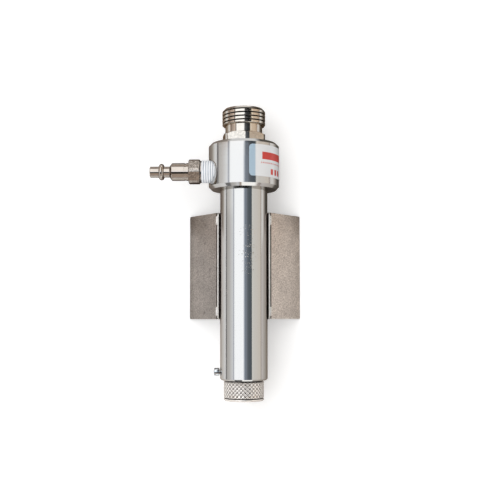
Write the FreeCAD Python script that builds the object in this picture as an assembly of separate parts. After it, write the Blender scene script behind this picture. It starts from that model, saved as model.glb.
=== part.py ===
"""Vortex tube with a cold outlet fitting, an air inlet plug and a hot end control knob.

Compressed air enters the turned head through the side plug, is spun by the nozzles of
the generator and splits: cold air leaves through the threaded fitting, hot air runs down
the inner tube, past the valve and out through the holes of the knob.

Frame, in millimetres: the tube's axis is the Y axis. The origin is the centre of the cold
outlet's mouth, +Y leaves that mouth, the knob is at the -Y end, and +Z is up when the tube
lies on its back on the head and on the rear edges of the two wings.
"""
import FreeCAD
import Part
import math
import os

V = FreeCAD.Vector
ORIGIN = V(0, 0, 0)
TUBE_AXIS = V(0, 1, 0)
UP = V(0, 0, 1)

# Clearances
fit = 0.05                      # radial, between turned pieces that seat or run in each other
face_gap = 0.02                 # between a skin or a ring and the surface that carries it
end_gap = 0.8                   # at the end of a sliding piece's stroke
soft_gap = 0.1                  # round the insulation
edge_break = 0.4                # small chamfer on turned edges
cut_over = 1.0                  # how far a cutting shape reaches past what it cuts
bevel_angle = 30.0              # degrees, on the ends of hexagons
seal_flats = 8                  # faces round the section of a squeezed seal

# Cold outlet fitting
outlet_thread_d = 26.0
outlet_thread_len = 10.2
outlet_lead_in = 1.6
outlet_neck_d = 22.4
outlet_neck_len = 4.9
outlet_hex_af = 24.2
outlet_hex_corner_d = 26.6
outlet_hex_bevel = 0.8
outlet_hex_len = 6.2
outlet_hex_turn = 11.0          # degrees from straight up to the nearest corner
outlet_bore_d = 16.0
outlet_bore_depth = 22.0
cold_passage_d = 10.0
shank_d = 20.0
shank_undercut = 0.9
outlet_seal_section = 1.5

# Turned head
head_d = 42.5
head_chamfer = 1.8
port_drop = 17.5                # from the head's top face to the inlet's axis
port_offset = 5.8               # of the inlet's axis from the tube's, towards +Z
port_floor_gap = 0.3            # past the plug's inner end
port_passage_d = 8.0
port_relief = 0.4               # wider by this at the mouth
port_relief_depth = 0.8
plenum_d = 24.0
plenum_len = 10.0
web_t = 1.8
tube_socket_depth = 3.6

# Generator stack inside the head
generator_d = 17.0
generator_len = 6.0
nozzle_count = 6
nozzle_exit_w = 0.9
nozzle_entry_w = 3.0
nozzle_h = 2.4
orifice_t = 1.5
orifice_d = 5.2
orifice_flare = 0.9
orifice_seal_section = 1.2

# Hot tube and outer tube
hot_tube_d = 12.5
hot_bore_d = 9.5
flange_t = 1.6
seal_chamfer = 1.5
outer_tube_d = 28.5
outer_tube_wall = 3.0
outer_tube_reach = 114.1        # from the head's lower face to the tube's end
outer_tube_chamfer = 0.85
breaker_len = 8.0
breaker_blade_t = 0.8
breaker_gap = 4.0               # from the cross to the valve's tip

# Hot valve
seat_plate_t = 2.2
seat_grip = 6.0
throat_d = 8.2
cone_half_angle = 30.0
cone_gap = 0.25
cone_tip_d = 2.6
cone_land = 1.5
cone_overlap = 1.0
carrier_web_t = 5.0
carrier_skirt_len = 6.5
carrier_skirt_wall = 2.2
carrier_port_wall = 0.5         # left between a port and the web's two edges
exhaust_count = 6
stem_d = 7.9
stem_tail = 1.0
stem_lead = 2.5
drive_af = 5.5
drive_corner_d = 6.2
drive_bevel = 0.4
drive_len = 9.0
clip_t = 1.2
clip_depth = 0.75
clip_band = 1.6
clip_opening_turn = 56.0        # degrees
clip_ear_d = 3.0
clip_ear_hole_d = 1.3

# Control knob
knob_d = 24.1
knob_len = 11.6
knob_gap = 0.7
knob_chamfer = 0.6
knob_rim_len = 1.3
knob_groove_w = 0.5
knob_groove_depth = 0.45
knob_turn_range = 300.0
knob_port_d = 3.4
knob_dish_depth = 0.6
knob_dish_rim = 2.2
groove_depth = 1.4
groove_land = 1.0
friction_ring_section = 1.2

# Stop screw
stop_inset = 4.8                # from the tube's end to the screw's axis
stop_shank_d = 3.0
stop_dog_d = 2.6
stop_head_d = 4.8
stop_head_len = 3.2
stop_head_gap = 0.5
stop_socket_af = 2.0
stop_slack_turn = 2.0            # degrees at each end of the groove

# Inlet plug, measured along its own axis from the tube's middle plane
plug_thread_d = 13.0
plug_thread_grip = 7.0
plug_exposed = 4.2
plug_taper = 1.0 / 32.0
tape_t = 0.35
tape_margin = 0.4
plug_hex_af = 14.1
plug_hex_corner_d = 15.2
plug_hex_len = 7.3
plug_hex_inner_bevel = 0.9
plug_hex_outer_bevel = 0.4
plug_body_d = 10.6
plug_body_len = 10.4
plug_cone_len = 1.15
plug_neck_d = 6.5
plug_neck_len = 3.4
plug_bead_d = 9.9
plug_bead_len = 3.05
plug_tip_d = 6.6
plug_tip_len = 5.5
plug_bore_d = 4.4
plug_groove_setback = 1.45      # from the hexagon
plug_groove_depth = 0.2
plug_groove_w = 1.2

# Bracket
bracket_drop = 13.7             # from the head's lower face to the bracket's upper edge
bracket_len = 64.2
sheet_t = 0.8
saddle_gap = 0.1
lip_rise = 2.8                  # the lips' height above the tube's axis
lip_flare = 10.0                # degrees that the lips lean away from the tube
lip_corner_r = 2.4
wing_root_rise = 1.5            # the wings' root, above the tube's axis
wing_half_span = 34.5
wing_corner_r = 0.8
bead_len = 5.6
bead_r = 0.85
bead_inset = 1.9
saddle_screw_spread = 34.0
saddle_screw_d = 3.0
saddle_screw_head_d = 5.6
saddle_screw_head_t = 1.9
saddle_screw_bevel = 0.8
saddle_screw_slot_w = 0.8
saddle_screw_slot_depth = 0.9

# Label on the head
label_t = 0.12
label_start_turn = 10.0         # degrees from straight up towards +X
label_sweep_turn = 100.0        # degrees round the head
label_drop = 3.5                # from the head's top face
label_len = 18.7
label_corner_r = 2.2

# Places along the tube's axis
thread_end_y = -outlet_thread_len
neck_end_y = thread_end_y - outlet_neck_len
head_top_y = neck_end_y - outlet_hex_len
port_y = head_top_y - port_drop
plenum_top_y = port_y + plenum_len / 2
plenum_floor_y = port_y - plenum_len / 2
socket_y = plenum_floor_y - web_t
head_end_y = socket_y - tube_socket_depth
flange_top_y = plenum_floor_y + flange_t
generator_top_y = flange_top_y + generator_len
shank_end_y = generator_top_y + orifice_t
tube_end_y = head_end_y - outer_tube_reach
knob_top_y = tube_end_y - knob_gap
knob_end_y = knob_top_y - knob_len

# Radii that several pieces share
head_r = head_d / 2
tube_r = outer_tube_d / 2
tube_bore_r = tube_r - outer_tube_wall
hub_r = tube_bore_r - fit
hot_bore_r = hot_bore_d / 2
rest_z = -head_r
outlet_seal_r = shank_d / 2 - shank_undercut + face_gap + outlet_seal_section / 2
orifice_seal_r = (cold_passage_d / 2 + generator_d / 2) / 2
friction_floor_r = tube_bore_r - face_gap - friction_ring_section - face_gap

# The hot end, from the stop screw up
stop_y = tube_end_y + stop_inset
stop_groove_half = stop_dog_d / 2 + 2 * fit
friction_groove_w = friction_ring_section + 4 * fit
friction_low_y = stop_y + stop_groove_half + groove_land
hub_top_y = friction_low_y + friction_groove_w + groove_land
clip_low_y = hub_top_y + end_gap
carrier_low_y = clip_low_y + clip_t
carrier_web_y = carrier_low_y + carrier_web_t
seat_low_y = carrier_web_y + carrier_skirt_len
hot_tube_end_y = seat_low_y + seat_plate_t
seat_top_y = hot_tube_end_y + seat_grip
valve_travel = stem_lead * knob_turn_range / 360
groove_floor_r = hub_r - groove_depth

# The valve's cone, by its place on the seat
cone_slope = math.tan(math.radians(cone_half_angle))
throat_low_y = seat_low_y + seat_plate_t / 2
cone_shift = cone_gap / math.cos(math.radians(cone_half_angle))
cone_low_y = seat_low_y - cone_overlap
cone_base_r = throat_d / 2 - cone_shift + (throat_low_y - cone_low_y) * cone_slope
cone_tip_y = cone_low_y + (cone_base_r - cone_tip_d / 2) / cone_slope
stem_shoulder_y = cone_low_y - cone_land
stem_thread_end_y = carrier_low_y - stem_tail
well_floor_y = stem_thread_end_y - valve_travel - end_gap
stem_end_y = well_floor_y - drive_len
drive_floor_y = stem_end_y - valve_travel - end_gap
well_r = stem_d / 2 + 5 * fit

# The bracket's section
bracket_top_y = head_end_y - bracket_drop
bracket_end_y = bracket_top_y - bracket_len
saddle_in_r = tube_r + saddle_gap
saddle_out_r = saddle_in_r + sheet_t


def turned(profile, centre=ORIGIN, axis=TUBE_AXIS, sweep=360):
    """Revolve a closed outline of (radius, y) corners about the Y axis."""
    corners = [V(r, y, 0) for r, y in profile]
    outline = Part.makePolygon(corners + [corners[0]])
    return Part.Face(outline).revolve(centre, axis, sweep)


def ring(inner_r, outer_r, low_y, high_y):
    """A plain turned ring or sleeve."""
    return turned([(inner_r, low_y), (outer_r, low_y), (outer_r, high_y), (inner_r, high_y)])


def rod(radius, start, direction, length):
    """A round bar or drill from a point along a direction."""
    return Part.makeCylinder(radius, length, start, direction)


def o_ring(mid_r, section, y):
    """A seal about the tube's axis, its round section squeezed to flats."""
    corner_r = section / 2 / math.cos(math.pi / seal_flats)
    corners = []
    for i in range(seal_flats):
        turn = 2 * math.pi * (i + 0.5) / seal_flats
        corners.append((mid_r + corner_r * math.cos(turn), y + corner_r * math.sin(turn)))
    return turned(corners)


def hex_bar(across_flats, low_y, high_y, corner_turn):
    """A hexagonal bar along Y, with one corner turned from +Z towards +X."""
    corner_r = across_flats / math.sqrt(3)
    corners = []
    for i in range(6):
        turn = math.radians(corner_turn + 60 * i)
        corners.append(V(corner_r * math.sin(turn), low_y, corner_r * math.cos(turn)))
    face = Part.Face(Part.makePolygon(corners + [corners[0]]))
    return face.extrude(V(0, high_y - low_y, 0))


def hex_nut_form(across_flats, corner_d, low_y, high_y, corner_turn, low_bevel, high_bevel):
    """A hexagon with its corners turned down, and bevels of given lengths at its two ends."""
    corner_r = corner_d / 2
    slope = math.tan(math.radians(bevel_angle))
    outline = [(0, low_y)]
    if low_bevel > 0:
        outline.append((corner_r - low_bevel / slope, low_y))
    outline.append((corner_r, low_y + low_bevel))
    outline.append((corner_r, high_y - high_bevel))
    if high_bevel > 0:
        outline.append((corner_r - high_bevel / slope, high_y))
    outline.append((0, high_y))
    return hex_bar(across_flats, low_y, high_y, corner_turn).common(turned(outline))


def round_the_axis(shape, count):
    """Copies of a shape, evenly turned about the tube's axis."""
    copies = []
    for i in range(count):
        copy = shape.copy()
        copy.rotate(ORIGIN, TUBE_AXIS, 360.0 * i / count)
        copies.append(copy)
    return copies


def in_port(shape):
    """Move a shape modelled along +Y from the origin onto the inlet's axis."""
    outward = FreeCAD.Rotation(TUBE_AXIS, V(-1, 0, 0))
    placed = shape.copy()
    placed.Placement = FreeCAD.Placement(V(0, port_y, port_offset), outward)
    return placed


def make_outlet_fitting():
    """Threaded cold outlet: thread, neck and hexagon above the head, shank inside it."""
    thread_r = outlet_thread_d / 2
    neck_r = outlet_neck_d / 2
    shank_r = shank_d / 2
    undercut_y = head_top_y - outlet_seal_section - 2 * face_gap
    taper_y = -outlet_bore_depth - (outlet_bore_d - cold_passage_d) / 2
    body = turned([
        (outlet_bore_d / 2, 0), (thread_r - outlet_lead_in, 0), (thread_r, -outlet_lead_in),
        (thread_r, thread_end_y + edge_break), (thread_r - edge_break, thread_end_y),
        (neck_r, thread_end_y), (neck_r, head_top_y),
        (shank_r - shank_undercut, head_top_y), (shank_r - shank_undercut, undercut_y),
        (shank_r, undercut_y), (shank_r, shank_end_y + edge_break),
        (shank_r - edge_break, shank_end_y), (cold_passage_d / 2, shank_end_y),
        (cold_passage_d / 2, taper_y), (outlet_bore_d / 2, -outlet_bore_depth),
    ])
    hexagon = hex_nut_form(outlet_hex_af, outlet_hex_corner_d, head_top_y, neck_end_y,
                           outlet_hex_turn, 0, outlet_hex_bevel)
    hexagon = hexagon.cut(rod(neck_r - edge_break, V(0, head_top_y, 0), TUBE_AXIS, outlet_hex_len))
    gland_r = orifice_seal_section / 2 + face_gap
    gland = ring(orifice_seal_r - gland_r, orifice_seal_r + gland_r,
                 shank_end_y, shank_end_y + orifice_seal_section + face_gap)
    return body.fuse(hexagon).cut(gland).removeSplitter()


def make_outlet_seal():
    """Ring in the recess under the hexagon."""
    return o_ring(outlet_seal_r, outlet_seal_section, head_top_y - outlet_seal_section / 2 - face_gap)


def make_orifice_seal():
    """Face seal between the fitting's shank and the orifice disc."""
    return o_ring(orifice_seal_r, orifice_seal_section, shank_end_y + orifice_seal_section / 2)


def make_head():
    """Turned head with the fitting's bore, the plenum, the tube socket and the side port."""
    blank = turned([
        (0, head_top_y), (head_r - head_chamfer, head_top_y), (head_r, head_top_y - head_chamfer),
        (head_r, head_end_y + head_chamfer), (head_r - head_chamfer, head_end_y), (0, head_end_y),
    ])
    recess_r = outlet_seal_r + outlet_seal_section / 2 + face_gap
    recess_y = head_top_y - outlet_seal_section - 2 * face_gap
    bore_r = shank_d / 2 + fit
    hot_hole_r = hot_tube_d / 2 + fit
    socket_r = tube_r + fit
    inside = turned([
        (0, head_top_y), (recess_r, head_top_y), (recess_r, recess_y), (bore_r, recess_y),
        (bore_r, plenum_top_y), (plenum_d / 2, plenum_top_y), (plenum_d / 2, plenum_floor_y),
        (hot_hole_r + seal_chamfer, plenum_floor_y), (hot_hole_r, plenum_floor_y - seal_chamfer),
        (hot_hole_r, socket_y), (socket_r, socket_y), (socket_r, head_end_y), (0, head_end_y),
    ])
    core = rod(head_r - port_relief_depth, V(0, head_end_y, 0), TUBE_AXIS, head_top_y - head_end_y)
    mouth = rod(port_r_at(head_r) + port_relief, ORIGIN, TUBE_AXIS, head_r + cut_over)
    return blank.cut([inside, in_port(port_cutter()), in_port(mouth).cut(core)])


def port_cutter():
    """Tapered inlet hole and the passage from its floor to the plenum, along +Y."""
    floor = head_r - plug_thread_grip - port_floor_gap
    over = head_r + cut_over
    passage_r = port_passage_d / 2
    return turned([
        (0, 0), (passage_r, 0), (passage_r, floor), (port_r_at(floor), floor),
        (port_r_at(over), over), (0, over),
    ])


def thread_r_at(distance):
    """Radius of the tapered inlet thread at a distance from the tube's axis."""
    return plug_thread_d / 2 + (distance - head_r) * plug_taper


def port_r_at(distance):
    """Radius of the inlet hole, which clears the taped thread."""
    return thread_r_at(distance) + tape_t + face_gap + fit


def make_generator():
    """Ring whose milled nozzles enter the spin chamber along its tangents."""
    body = ring(hot_bore_r, generator_d / 2, flange_top_y, generator_top_y)
    reach = generator_d
    walls = [V(hot_bore_r, flange_top_y, 0), V(hot_bore_r, flange_top_y, reach),
             V(hot_bore_r - nozzle_entry_w, flange_top_y, reach),
             V(hot_bore_r - nozzle_exit_w, flange_top_y, 0)]
    slot = Part.Face(Part.makePolygon(walls + [walls[0]])).extrude(V(0, nozzle_h, 0))
    return body.cut(round_the_axis(slot, nozzle_count))


def make_orifice():
    """Disc with the small cold hole, flared towards the outlet."""
    hole_r = orifice_d / 2
    return turned([
        (hole_r, generator_top_y), (generator_d / 2, generator_top_y),
        (generator_d / 2, shank_end_y), (hole_r + orifice_flare, shank_end_y),
        (hole_r, shank_end_y - orifice_flare),
    ])


def make_hot_tube():
    """Inner tube with the flange that the generator stands on."""
    outer_r = hot_tube_d / 2
    return turned([
        (hot_bore_r, flange_top_y), (generator_d / 2, flange_top_y),
        (generator_d / 2, plenum_floor_y), (outer_r, plenum_floor_y),
        (outer_r, hot_tube_end_y + edge_break), (outer_r - edge_break, hot_tube_end_y),
        (hot_bore_r, hot_tube_end_y),
    ])


def make_hot_tube_seal():
    """Ring in the corner between the hot tube, its flange and the chamfered web."""
    leg = seal_chamfer + fit
    radius = leg * (1 - 1 / math.sqrt(2)) - face_gap
    return o_ring(hot_tube_d / 2 + radius + face_gap, 2 * radius, plenum_floor_y - radius - face_gap)


def make_outer_tube():
    """Outer tube with the clip's groove and the holes of its screws."""
    chamfer_r = tube_r - outer_tube_chamfer
    clip_r = tube_bore_r + clip_depth + face_gap
    tube = turned([
        (tube_bore_r, socket_y), (tube_r - edge_break, socket_y), (tube_r, socket_y - edge_break),
        (tube_r, tube_end_y + outer_tube_chamfer), (chamfer_r, tube_end_y),
        (tube_bore_r + edge_break / 2, tube_end_y), (tube_bore_r, tube_end_y + edge_break / 2),
        (tube_bore_r, clip_low_y - face_gap), (clip_r, clip_low_y - face_gap),
        (clip_r, carrier_low_y + face_gap), (tube_bore_r, carrier_low_y + face_gap),
    ])
    holes = [rod(stop_shank_d / 2 + fit, V(0, stop_y, 0), V(-1, 0, 0), outer_tube_d)]
    for y in saddle_screw_places():
        holes.append(rod(saddle_screw_d / 2 + fit, V(0, y, 0), V(0, 0, -1), outer_tube_d))
    return tube.cut(holes)


def make_insulation():
    """Soft sleeve that fills the space between the two tubes."""
    return ring(hot_tube_d / 2 + soft_gap, tube_bore_r - soft_gap,
                seat_top_y + soft_gap, socket_y - soft_gap)


def make_swirl_breaker():
    """Cross of two blades that stops the spin before the valve."""
    low_y = cone_tip_y + breaker_gap
    reach = hot_bore_r - fit
    bore = rod(reach, V(0, low_y, 0), TUBE_AXIS, breaker_len)
    blade = Part.makeBox(2 * reach, breaker_len, breaker_blade_t,
                         V(-reach, low_y, -breaker_blade_t / 2))
    crossing = blade.copy()
    crossing.rotate(ORIGIN, TUBE_AXIS, 90)
    return blade.fuse(crossing).common(bore).removeSplitter()


def make_valve_seat():
    """Plate that holds the hot tube's end and carries the conical seat."""
    grip_r = hot_tube_d / 2 + fit
    throat_r = throat_d / 2
    flare_r = throat_r + (throat_low_y - seat_low_y) * cone_slope
    return turned([
        (grip_r, seat_top_y), (hub_r, seat_top_y), (hub_r, seat_low_y), (flare_r, seat_low_y),
        (throat_r, throat_low_y), (throat_r, hot_tube_end_y), (grip_r, hot_tube_end_y),
    ])


def make_valve_carrier():
    """Cup whose web holds the stem's thread and lets the hot air past."""
    stem_hole_r = stem_d / 2 + fit
    skirt_r = hub_r - carrier_skirt_wall
    cup = turned([
        (stem_hole_r, carrier_low_y), (hub_r, carrier_low_y), (hub_r, seat_low_y),
        (skirt_r, seat_low_y), (skirt_r, carrier_web_y), (stem_hole_r, carrier_web_y),
    ])
    port_place = V((stem_hole_r + skirt_r) / 2, carrier_low_y, 0)
    port_r = (skirt_r - stem_hole_r) / 2 - carrier_port_wall
    port = rod(port_r, port_place, TUBE_AXIS, carrier_web_t)
    return cup.cut(round_the_axis(port, exhaust_count))


def make_retaining_clip():
    """Internal spring clip with two plier ears beside its opening."""
    outer_r = tube_bore_r + clip_depth
    inner_r = outer_r - clip_band
    start = V(0, clip_low_y, 0)
    band = turned([(inner_r, clip_low_y), (outer_r, clip_low_y),
                   (outer_r, carrier_low_y), (inner_r, carrier_low_y)],
                  sweep=360 - clip_opening_turn)
    ear_r = inner_r - clip_ear_d / 2 + clip_band / 2
    clip = band
    holes = []
    for side in (0.0, 360.0 - clip_opening_turn):
        lean = math.degrees(clip_ear_d / 2 / ear_r)
        turn = math.radians(side + (lean if side == 0.0 else -lean))
        place = V(ear_r * math.cos(turn), clip_low_y, -ear_r * math.sin(turn))
        clip = clip.fuse(rod(clip_ear_d / 2, place, TUBE_AXIS, clip_t))
        holes.append(rod(clip_ear_hole_d / 2, place, TUBE_AXIS, clip_t))
    clip = clip.common(rod(outer_r, start, TUBE_AXIS, clip_t)).cut(holes)
    return clip.removeSplitter()


def make_valve_stem():
    """Cone, threaded shank and hexagonal drive in one piece."""
    stem_r = stem_d / 2
    cone = turned([
        (0, cone_tip_y), (cone_tip_d / 2, cone_tip_y), (cone_base_r, cone_low_y),
        (cone_base_r, stem_shoulder_y), (stem_r, stem_shoulder_y),
        (stem_r, stem_thread_end_y + edge_break), (stem_r - edge_break, stem_thread_end_y),
        (0, stem_thread_end_y),
    ])
    drive = hex_nut_form(drive_af, drive_corner_d, stem_end_y, stem_thread_end_y, 0, drive_bevel, 0)
    return cone.fuse(drive).removeSplitter()


def make_knob():
    """Knurled knob with the hub that runs in the tube and the hot air's holes."""
    knob_r = knob_d / 2
    rim_y = knob_end_y + knob_rim_len
    band_y = rim_y + knob_groove_w
    groove_r = knob_r - knob_groove_depth
    friction_top_y = friction_low_y + friction_groove_w
    dish_r = knob_r - knob_dish_rim
    blank = turned([
        (0, hub_top_y), (hub_r - edge_break, hub_top_y), (hub_r, hub_top_y - edge_break),
        (hub_r, friction_top_y), (friction_floor_r, friction_top_y),
        (friction_floor_r, friction_low_y), (hub_r, friction_low_y),
        (hub_r, knob_top_y), (knob_r - edge_break, knob_top_y), (knob_r, knob_top_y - edge_break),
        (knob_r, band_y), (groove_r, band_y), (groove_r, rim_y), (knob_r, rim_y),
        (knob_r, knob_end_y + knob_chamfer), (knob_r - knob_chamfer, knob_end_y),
        (dish_r, knob_end_y), (dish_r - knob_dish_depth, knob_end_y + knob_dish_depth),
        (0, knob_end_y + knob_dish_depth),
    ])
    well = rod(well_r, V(0, well_floor_y, 0), TUBE_AXIS, hub_top_y - well_floor_y)
    socket = hex_bar(drive_af + 2 * fit, drive_floor_y, well_floor_y, 0)
    port_place = V((well_r + groove_floor_r) / 2, knob_end_y, 0)
    port = rod(knob_port_d / 2, port_place, TUBE_AXIS, hub_top_y - knob_end_y)
    cuts = [well, socket, stop_groove()] + round_the_axis(port, exhaust_count)
    return blank.cut(cuts)


def stop_groove():
    """Part-turn groove in the hub, whose two ends stop the knob."""
    over_r = hub_r + fit
    low_y = stop_y - stop_groove_half
    high_y = stop_y + stop_groove_half
    dog_turn = math.degrees(math.asin(stop_groove_half / groove_floor_r))
    margin = dog_turn + stop_slack_turn
    sector = turned([(groove_floor_r, low_y), (over_r, low_y), (over_r, high_y),
                     (groove_floor_r, high_y)], sweep=knob_turn_range + 2 * margin)
    sector.rotate(ORIGIN, TUBE_AXIS, 180 - margin)
    return sector


def make_friction_ring():
    """Ring in the hub's upper groove that holds the knob where it is put."""
    return o_ring(friction_floor_r + face_gap + friction_ring_section / 2,
                  friction_ring_section, friction_low_y + friction_groove_w / 2)


def make_stop_screw():
    """Side screw whose dog point runs in the knob's groove."""
    outward = V(-1, 0, 0)
    tip_r = groove_floor_r + 3 * fit
    head_in_r = tube_r + stop_head_gap
    head = rod(stop_head_d / 2, V(-head_in_r, stop_y, 0), outward, stop_head_len)
    head = head.makeChamfer(edge_break, [edge for edge in head.Edges
                                         if edge.BoundBox.XMax < -head_in_r - stop_head_len / 2])
    shank = rod(stop_shank_d / 2, V(-tube_bore_r, stop_y, 0), outward, head_in_r - tube_bore_r)
    dog = rod(stop_dog_d / 2, V(-tip_r, stop_y, 0), outward, tube_bore_r - tip_r)
    key = hex_bar(stop_socket_af, 0, stop_head_len / 2, 0)
    key.Placement = FreeCAD.Placement(V(-head_in_r - stop_head_len, stop_y, 0),
                                      FreeCAD.Rotation(TUBE_AXIS, V(1, 0, 0)))
    return head.fuse([shank, dog]).cut(key).removeSplitter()


def make_inlet_plug():
    """Quick-connect plug: tip, bead, neck, body, hexagon and tapered thread."""
    inner_end = head_r - plug_thread_grip
    hex_low = head_r + plug_exposed
    hex_high = hex_low + plug_hex_len
    body_high = hex_high + plug_body_len
    neck_low = body_high + plug_cone_len
    bead_low = neck_low + plug_neck_len
    tip_low = bead_low + plug_bead_len
    tip_end = tip_low + plug_tip_len
    body_r = plug_body_d / 2
    neck_r = plug_neck_d / 2
    tip_r = plug_tip_d / 2
    groove_low = hex_high + plug_groove_setback
    groove_high = groove_low + plug_groove_w
    groove_r = body_r - plug_groove_depth
    corners = [
        (plug_bore_d / 2, inner_end), (thread_r_at(inner_end), inner_end),
        (thread_r_at(hex_low), hex_low), (body_r, hex_low),
        (body_r, groove_low), (groove_r, groove_low), (groove_r, groove_high),
        (body_r, groove_high), (body_r, body_high - edge_break), (body_r - edge_break, body_high),
        (neck_r, neck_low), (neck_r, bead_low),
    ]
    bead_mid = V(plug_bead_d / 2, (bead_low + tip_low) / 2, 0)
    edges = []
    for start, end in zip(corners, corners[1:]):
        edges.append(Part.makeLine(V(start[0], start[1], 0), V(end[0], end[1], 0)))
    edges.append(Part.Arc(V(neck_r, bead_low, 0), bead_mid, V(tip_r, tip_low, 0)).toShape())
    tail = [(tip_r, tip_low), (tip_r, tip_end - edge_break), (tip_r - edge_break, tip_end),
            (plug_bore_d / 2, tip_end), corners[0]]
    for start, end in zip(tail, tail[1:]):
        edges.append(Part.makeLine(V(start[0], start[1], 0), V(end[0], end[1], 0)))
    body = Part.Face(Part.Wire(edges)).revolve(ORIGIN, TUBE_AXIS, 360)
    hexagon = hex_nut_form(plug_hex_af, plug_hex_corner_d, hex_low, hex_high, 0,
                           plug_hex_inner_bevel, plug_hex_outer_bevel)
    hexagon = hexagon.cut(rod(plug_bore_d / 2 + edge_break, V(0, hex_low, 0), TUBE_AXIS, plug_hex_len))
    return in_port(body.fuse(hexagon).removeSplitter())


def make_thread_tape():
    """Sealing tape wound on the inlet thread."""
    low = head_r - plug_thread_grip + tape_margin
    high = head_r + plug_exposed - tape_margin
    sleeve = turned([
        (thread_r_at(low) + face_gap, low), (thread_r_at(low) + face_gap + tape_t, low),
        (thread_r_at(high) + face_gap + tape_t, high), (thread_r_at(high) + face_gap, high),
    ])
    return in_port(sleeve)


def make_saddle():
    """Sheet bent round the tube's back, with two lips that lean off the tube past its middle."""
    sheet = saddle_block(saddle_out_r).cut(saddle_block(saddle_in_r))
    corners = []
    for edge in sheet.Edges:
        box = edge.BoundBox
        if box.ZMin > lip_rise - face_gap and box.YLength < face_gap:
            corners.append(edge)
    sheet = sheet.makeFillet(lip_corner_r, corners)
    holes = [rod(saddle_screw_d / 2 + 2 * fit, V(0, y, 0), V(0, 0, -1), 2 * saddle_out_r)
             for y in saddle_screw_places()]
    return sheet.cut(holes)


def saddle_block(reach):
    """Solid as long as the bracket, with the saddle's section at a distance from the axis."""
    low = lip_foot(reach)
    top = V(lip_x(reach, lip_rise), bracket_end_y, lip_rise)
    far_low = V(-low.x, low.y, low.z)
    far_top = V(-top.x, top.y, top.z)
    bend = Part.Arc(low, V(0, bracket_end_y, -reach), far_low)
    section = Part.Wire([
        bend.toShape(),
        Part.makeLine(far_low, far_top),
        Part.makeLine(far_top, top),
        Part.makeLine(top, low),
    ])
    return Part.Face(section).extrude(V(0, bracket_len, 0))


def lip_foot(reach):
    """Point of the saddle's section where its bend ends and the right lip starts."""
    flare = math.radians(lip_flare)
    return V(reach * math.cos(flare), bracket_end_y, -reach * math.sin(flare))


def lip_x(reach, rise):
    """How far out the right lip is at a height above the tube's axis."""
    foot = lip_foot(reach)
    return foot.x + (rise - foot.z) * math.tan(math.radians(lip_flare))


def saddle_screw_places():
    """Places of the two saddle screws along the tube."""
    middle_y = (bracket_top_y + bracket_end_y) / 2
    return [middle_y - saddle_screw_spread / 2, middle_y + saddle_screw_spread / 2]


def wing_root():
    """Place in the section where a wing's front face meets the saddle, on the +X side."""
    return lip_x(saddle_out_r, wing_root_rise), wing_root_rise


def make_wing(side):
    """Flat plate from the saddle's side down and out to the surface that it rests on."""
    root_x, root_z = wing_root()
    span = wing_half_span - root_x
    fall = root_z - rest_z
    length = math.hypot(span, fall)
    along = V(side * span / length, 0, -fall / length)
    inward = V(-side * fall / length, 0, -span / length)
    edge_rise = sheet_t * span / length
    tip = V(side * wing_half_span, bracket_end_y, rest_z + edge_rise)
    root = tip - along * (length + sheet_t)
    corners = [root, tip, tip + inward * sheet_t, root + inward * sheet_t]
    plate = Part.Face(Part.makePolygon(corners + [corners[0]])).extrude(V(0, bracket_len, 0))
    outer_edges = []
    for edge in plate.Edges:
        middle = edge.CenterOfMass
        if abs(middle.x) > wing_half_span - 2 * sheet_t and edge.BoundBox.YLength < face_gap:
            outer_edges.append(edge)
    plate = plate.makeFillet(wing_corner_r, outer_edges)
    return plate.cut(saddle_block(saddle_out_r + face_gap))


def make_tack_welds(wings):
    """Four short beads in the grooves between the saddle's lips and the wings."""
    beads = []
    root_x, root_z = wing_root()
    centre_x = root_x + bead_r / 2
    centre_z = root_z + bead_r / 4
    for side in (-1, 1):
        for low_y in (bracket_end_y + bead_inset, bracket_top_y - bead_inset - bead_len):
            start = V(side * centre_x, low_y + bead_r, centre_z)
            core = rod(bead_r, start, TUBE_AXIS, bead_len - 2 * bead_r)
            ends = [Part.makeSphere(bead_r, start),
                    Part.makeSphere(bead_r, start + V(0, bead_len - 2 * bead_r, 0))]
            bead = core.fuse(ends).removeSplitter()
            bead = bead.cut([saddle_block(saddle_out_r + face_gap)] + wings)
            beads.append(max(bead.Solids, key=lambda solid: solid.CenterOfMass.z))
    return Part.makeCompound(beads)


def make_saddle_screws():
    """Two slotted screws through the saddle into the tube's wall."""
    down = V(0, 0, -1)
    screws = []
    for y in saddle_screw_places():
        shank_start = tube_bore_r + saddle_gap
        head_z = -saddle_out_r
        shank = rod(saddle_screw_d / 2, V(0, y, -shank_start), down, saddle_out_r - shank_start)
        head = rod(saddle_screw_head_d / 2, V(0, y, head_z), down, saddle_screw_head_t)
        head = head.makeChamfer(saddle_screw_bevel, [
            edge for edge in head.Edges if edge.BoundBox.ZMax < head_z - saddle_screw_head_t / 2])
        slot = Part.makeBox(saddle_screw_head_d, saddle_screw_slot_w, saddle_screw_slot_depth,
                            V(-saddle_screw_head_d / 2, y - saddle_screw_slot_w / 2,
                              head_z - saddle_screw_head_t))
        screws.append(shank.fuse(head).cut(slot).removeSplitter())
    return Part.makeCompound(screws)


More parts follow.
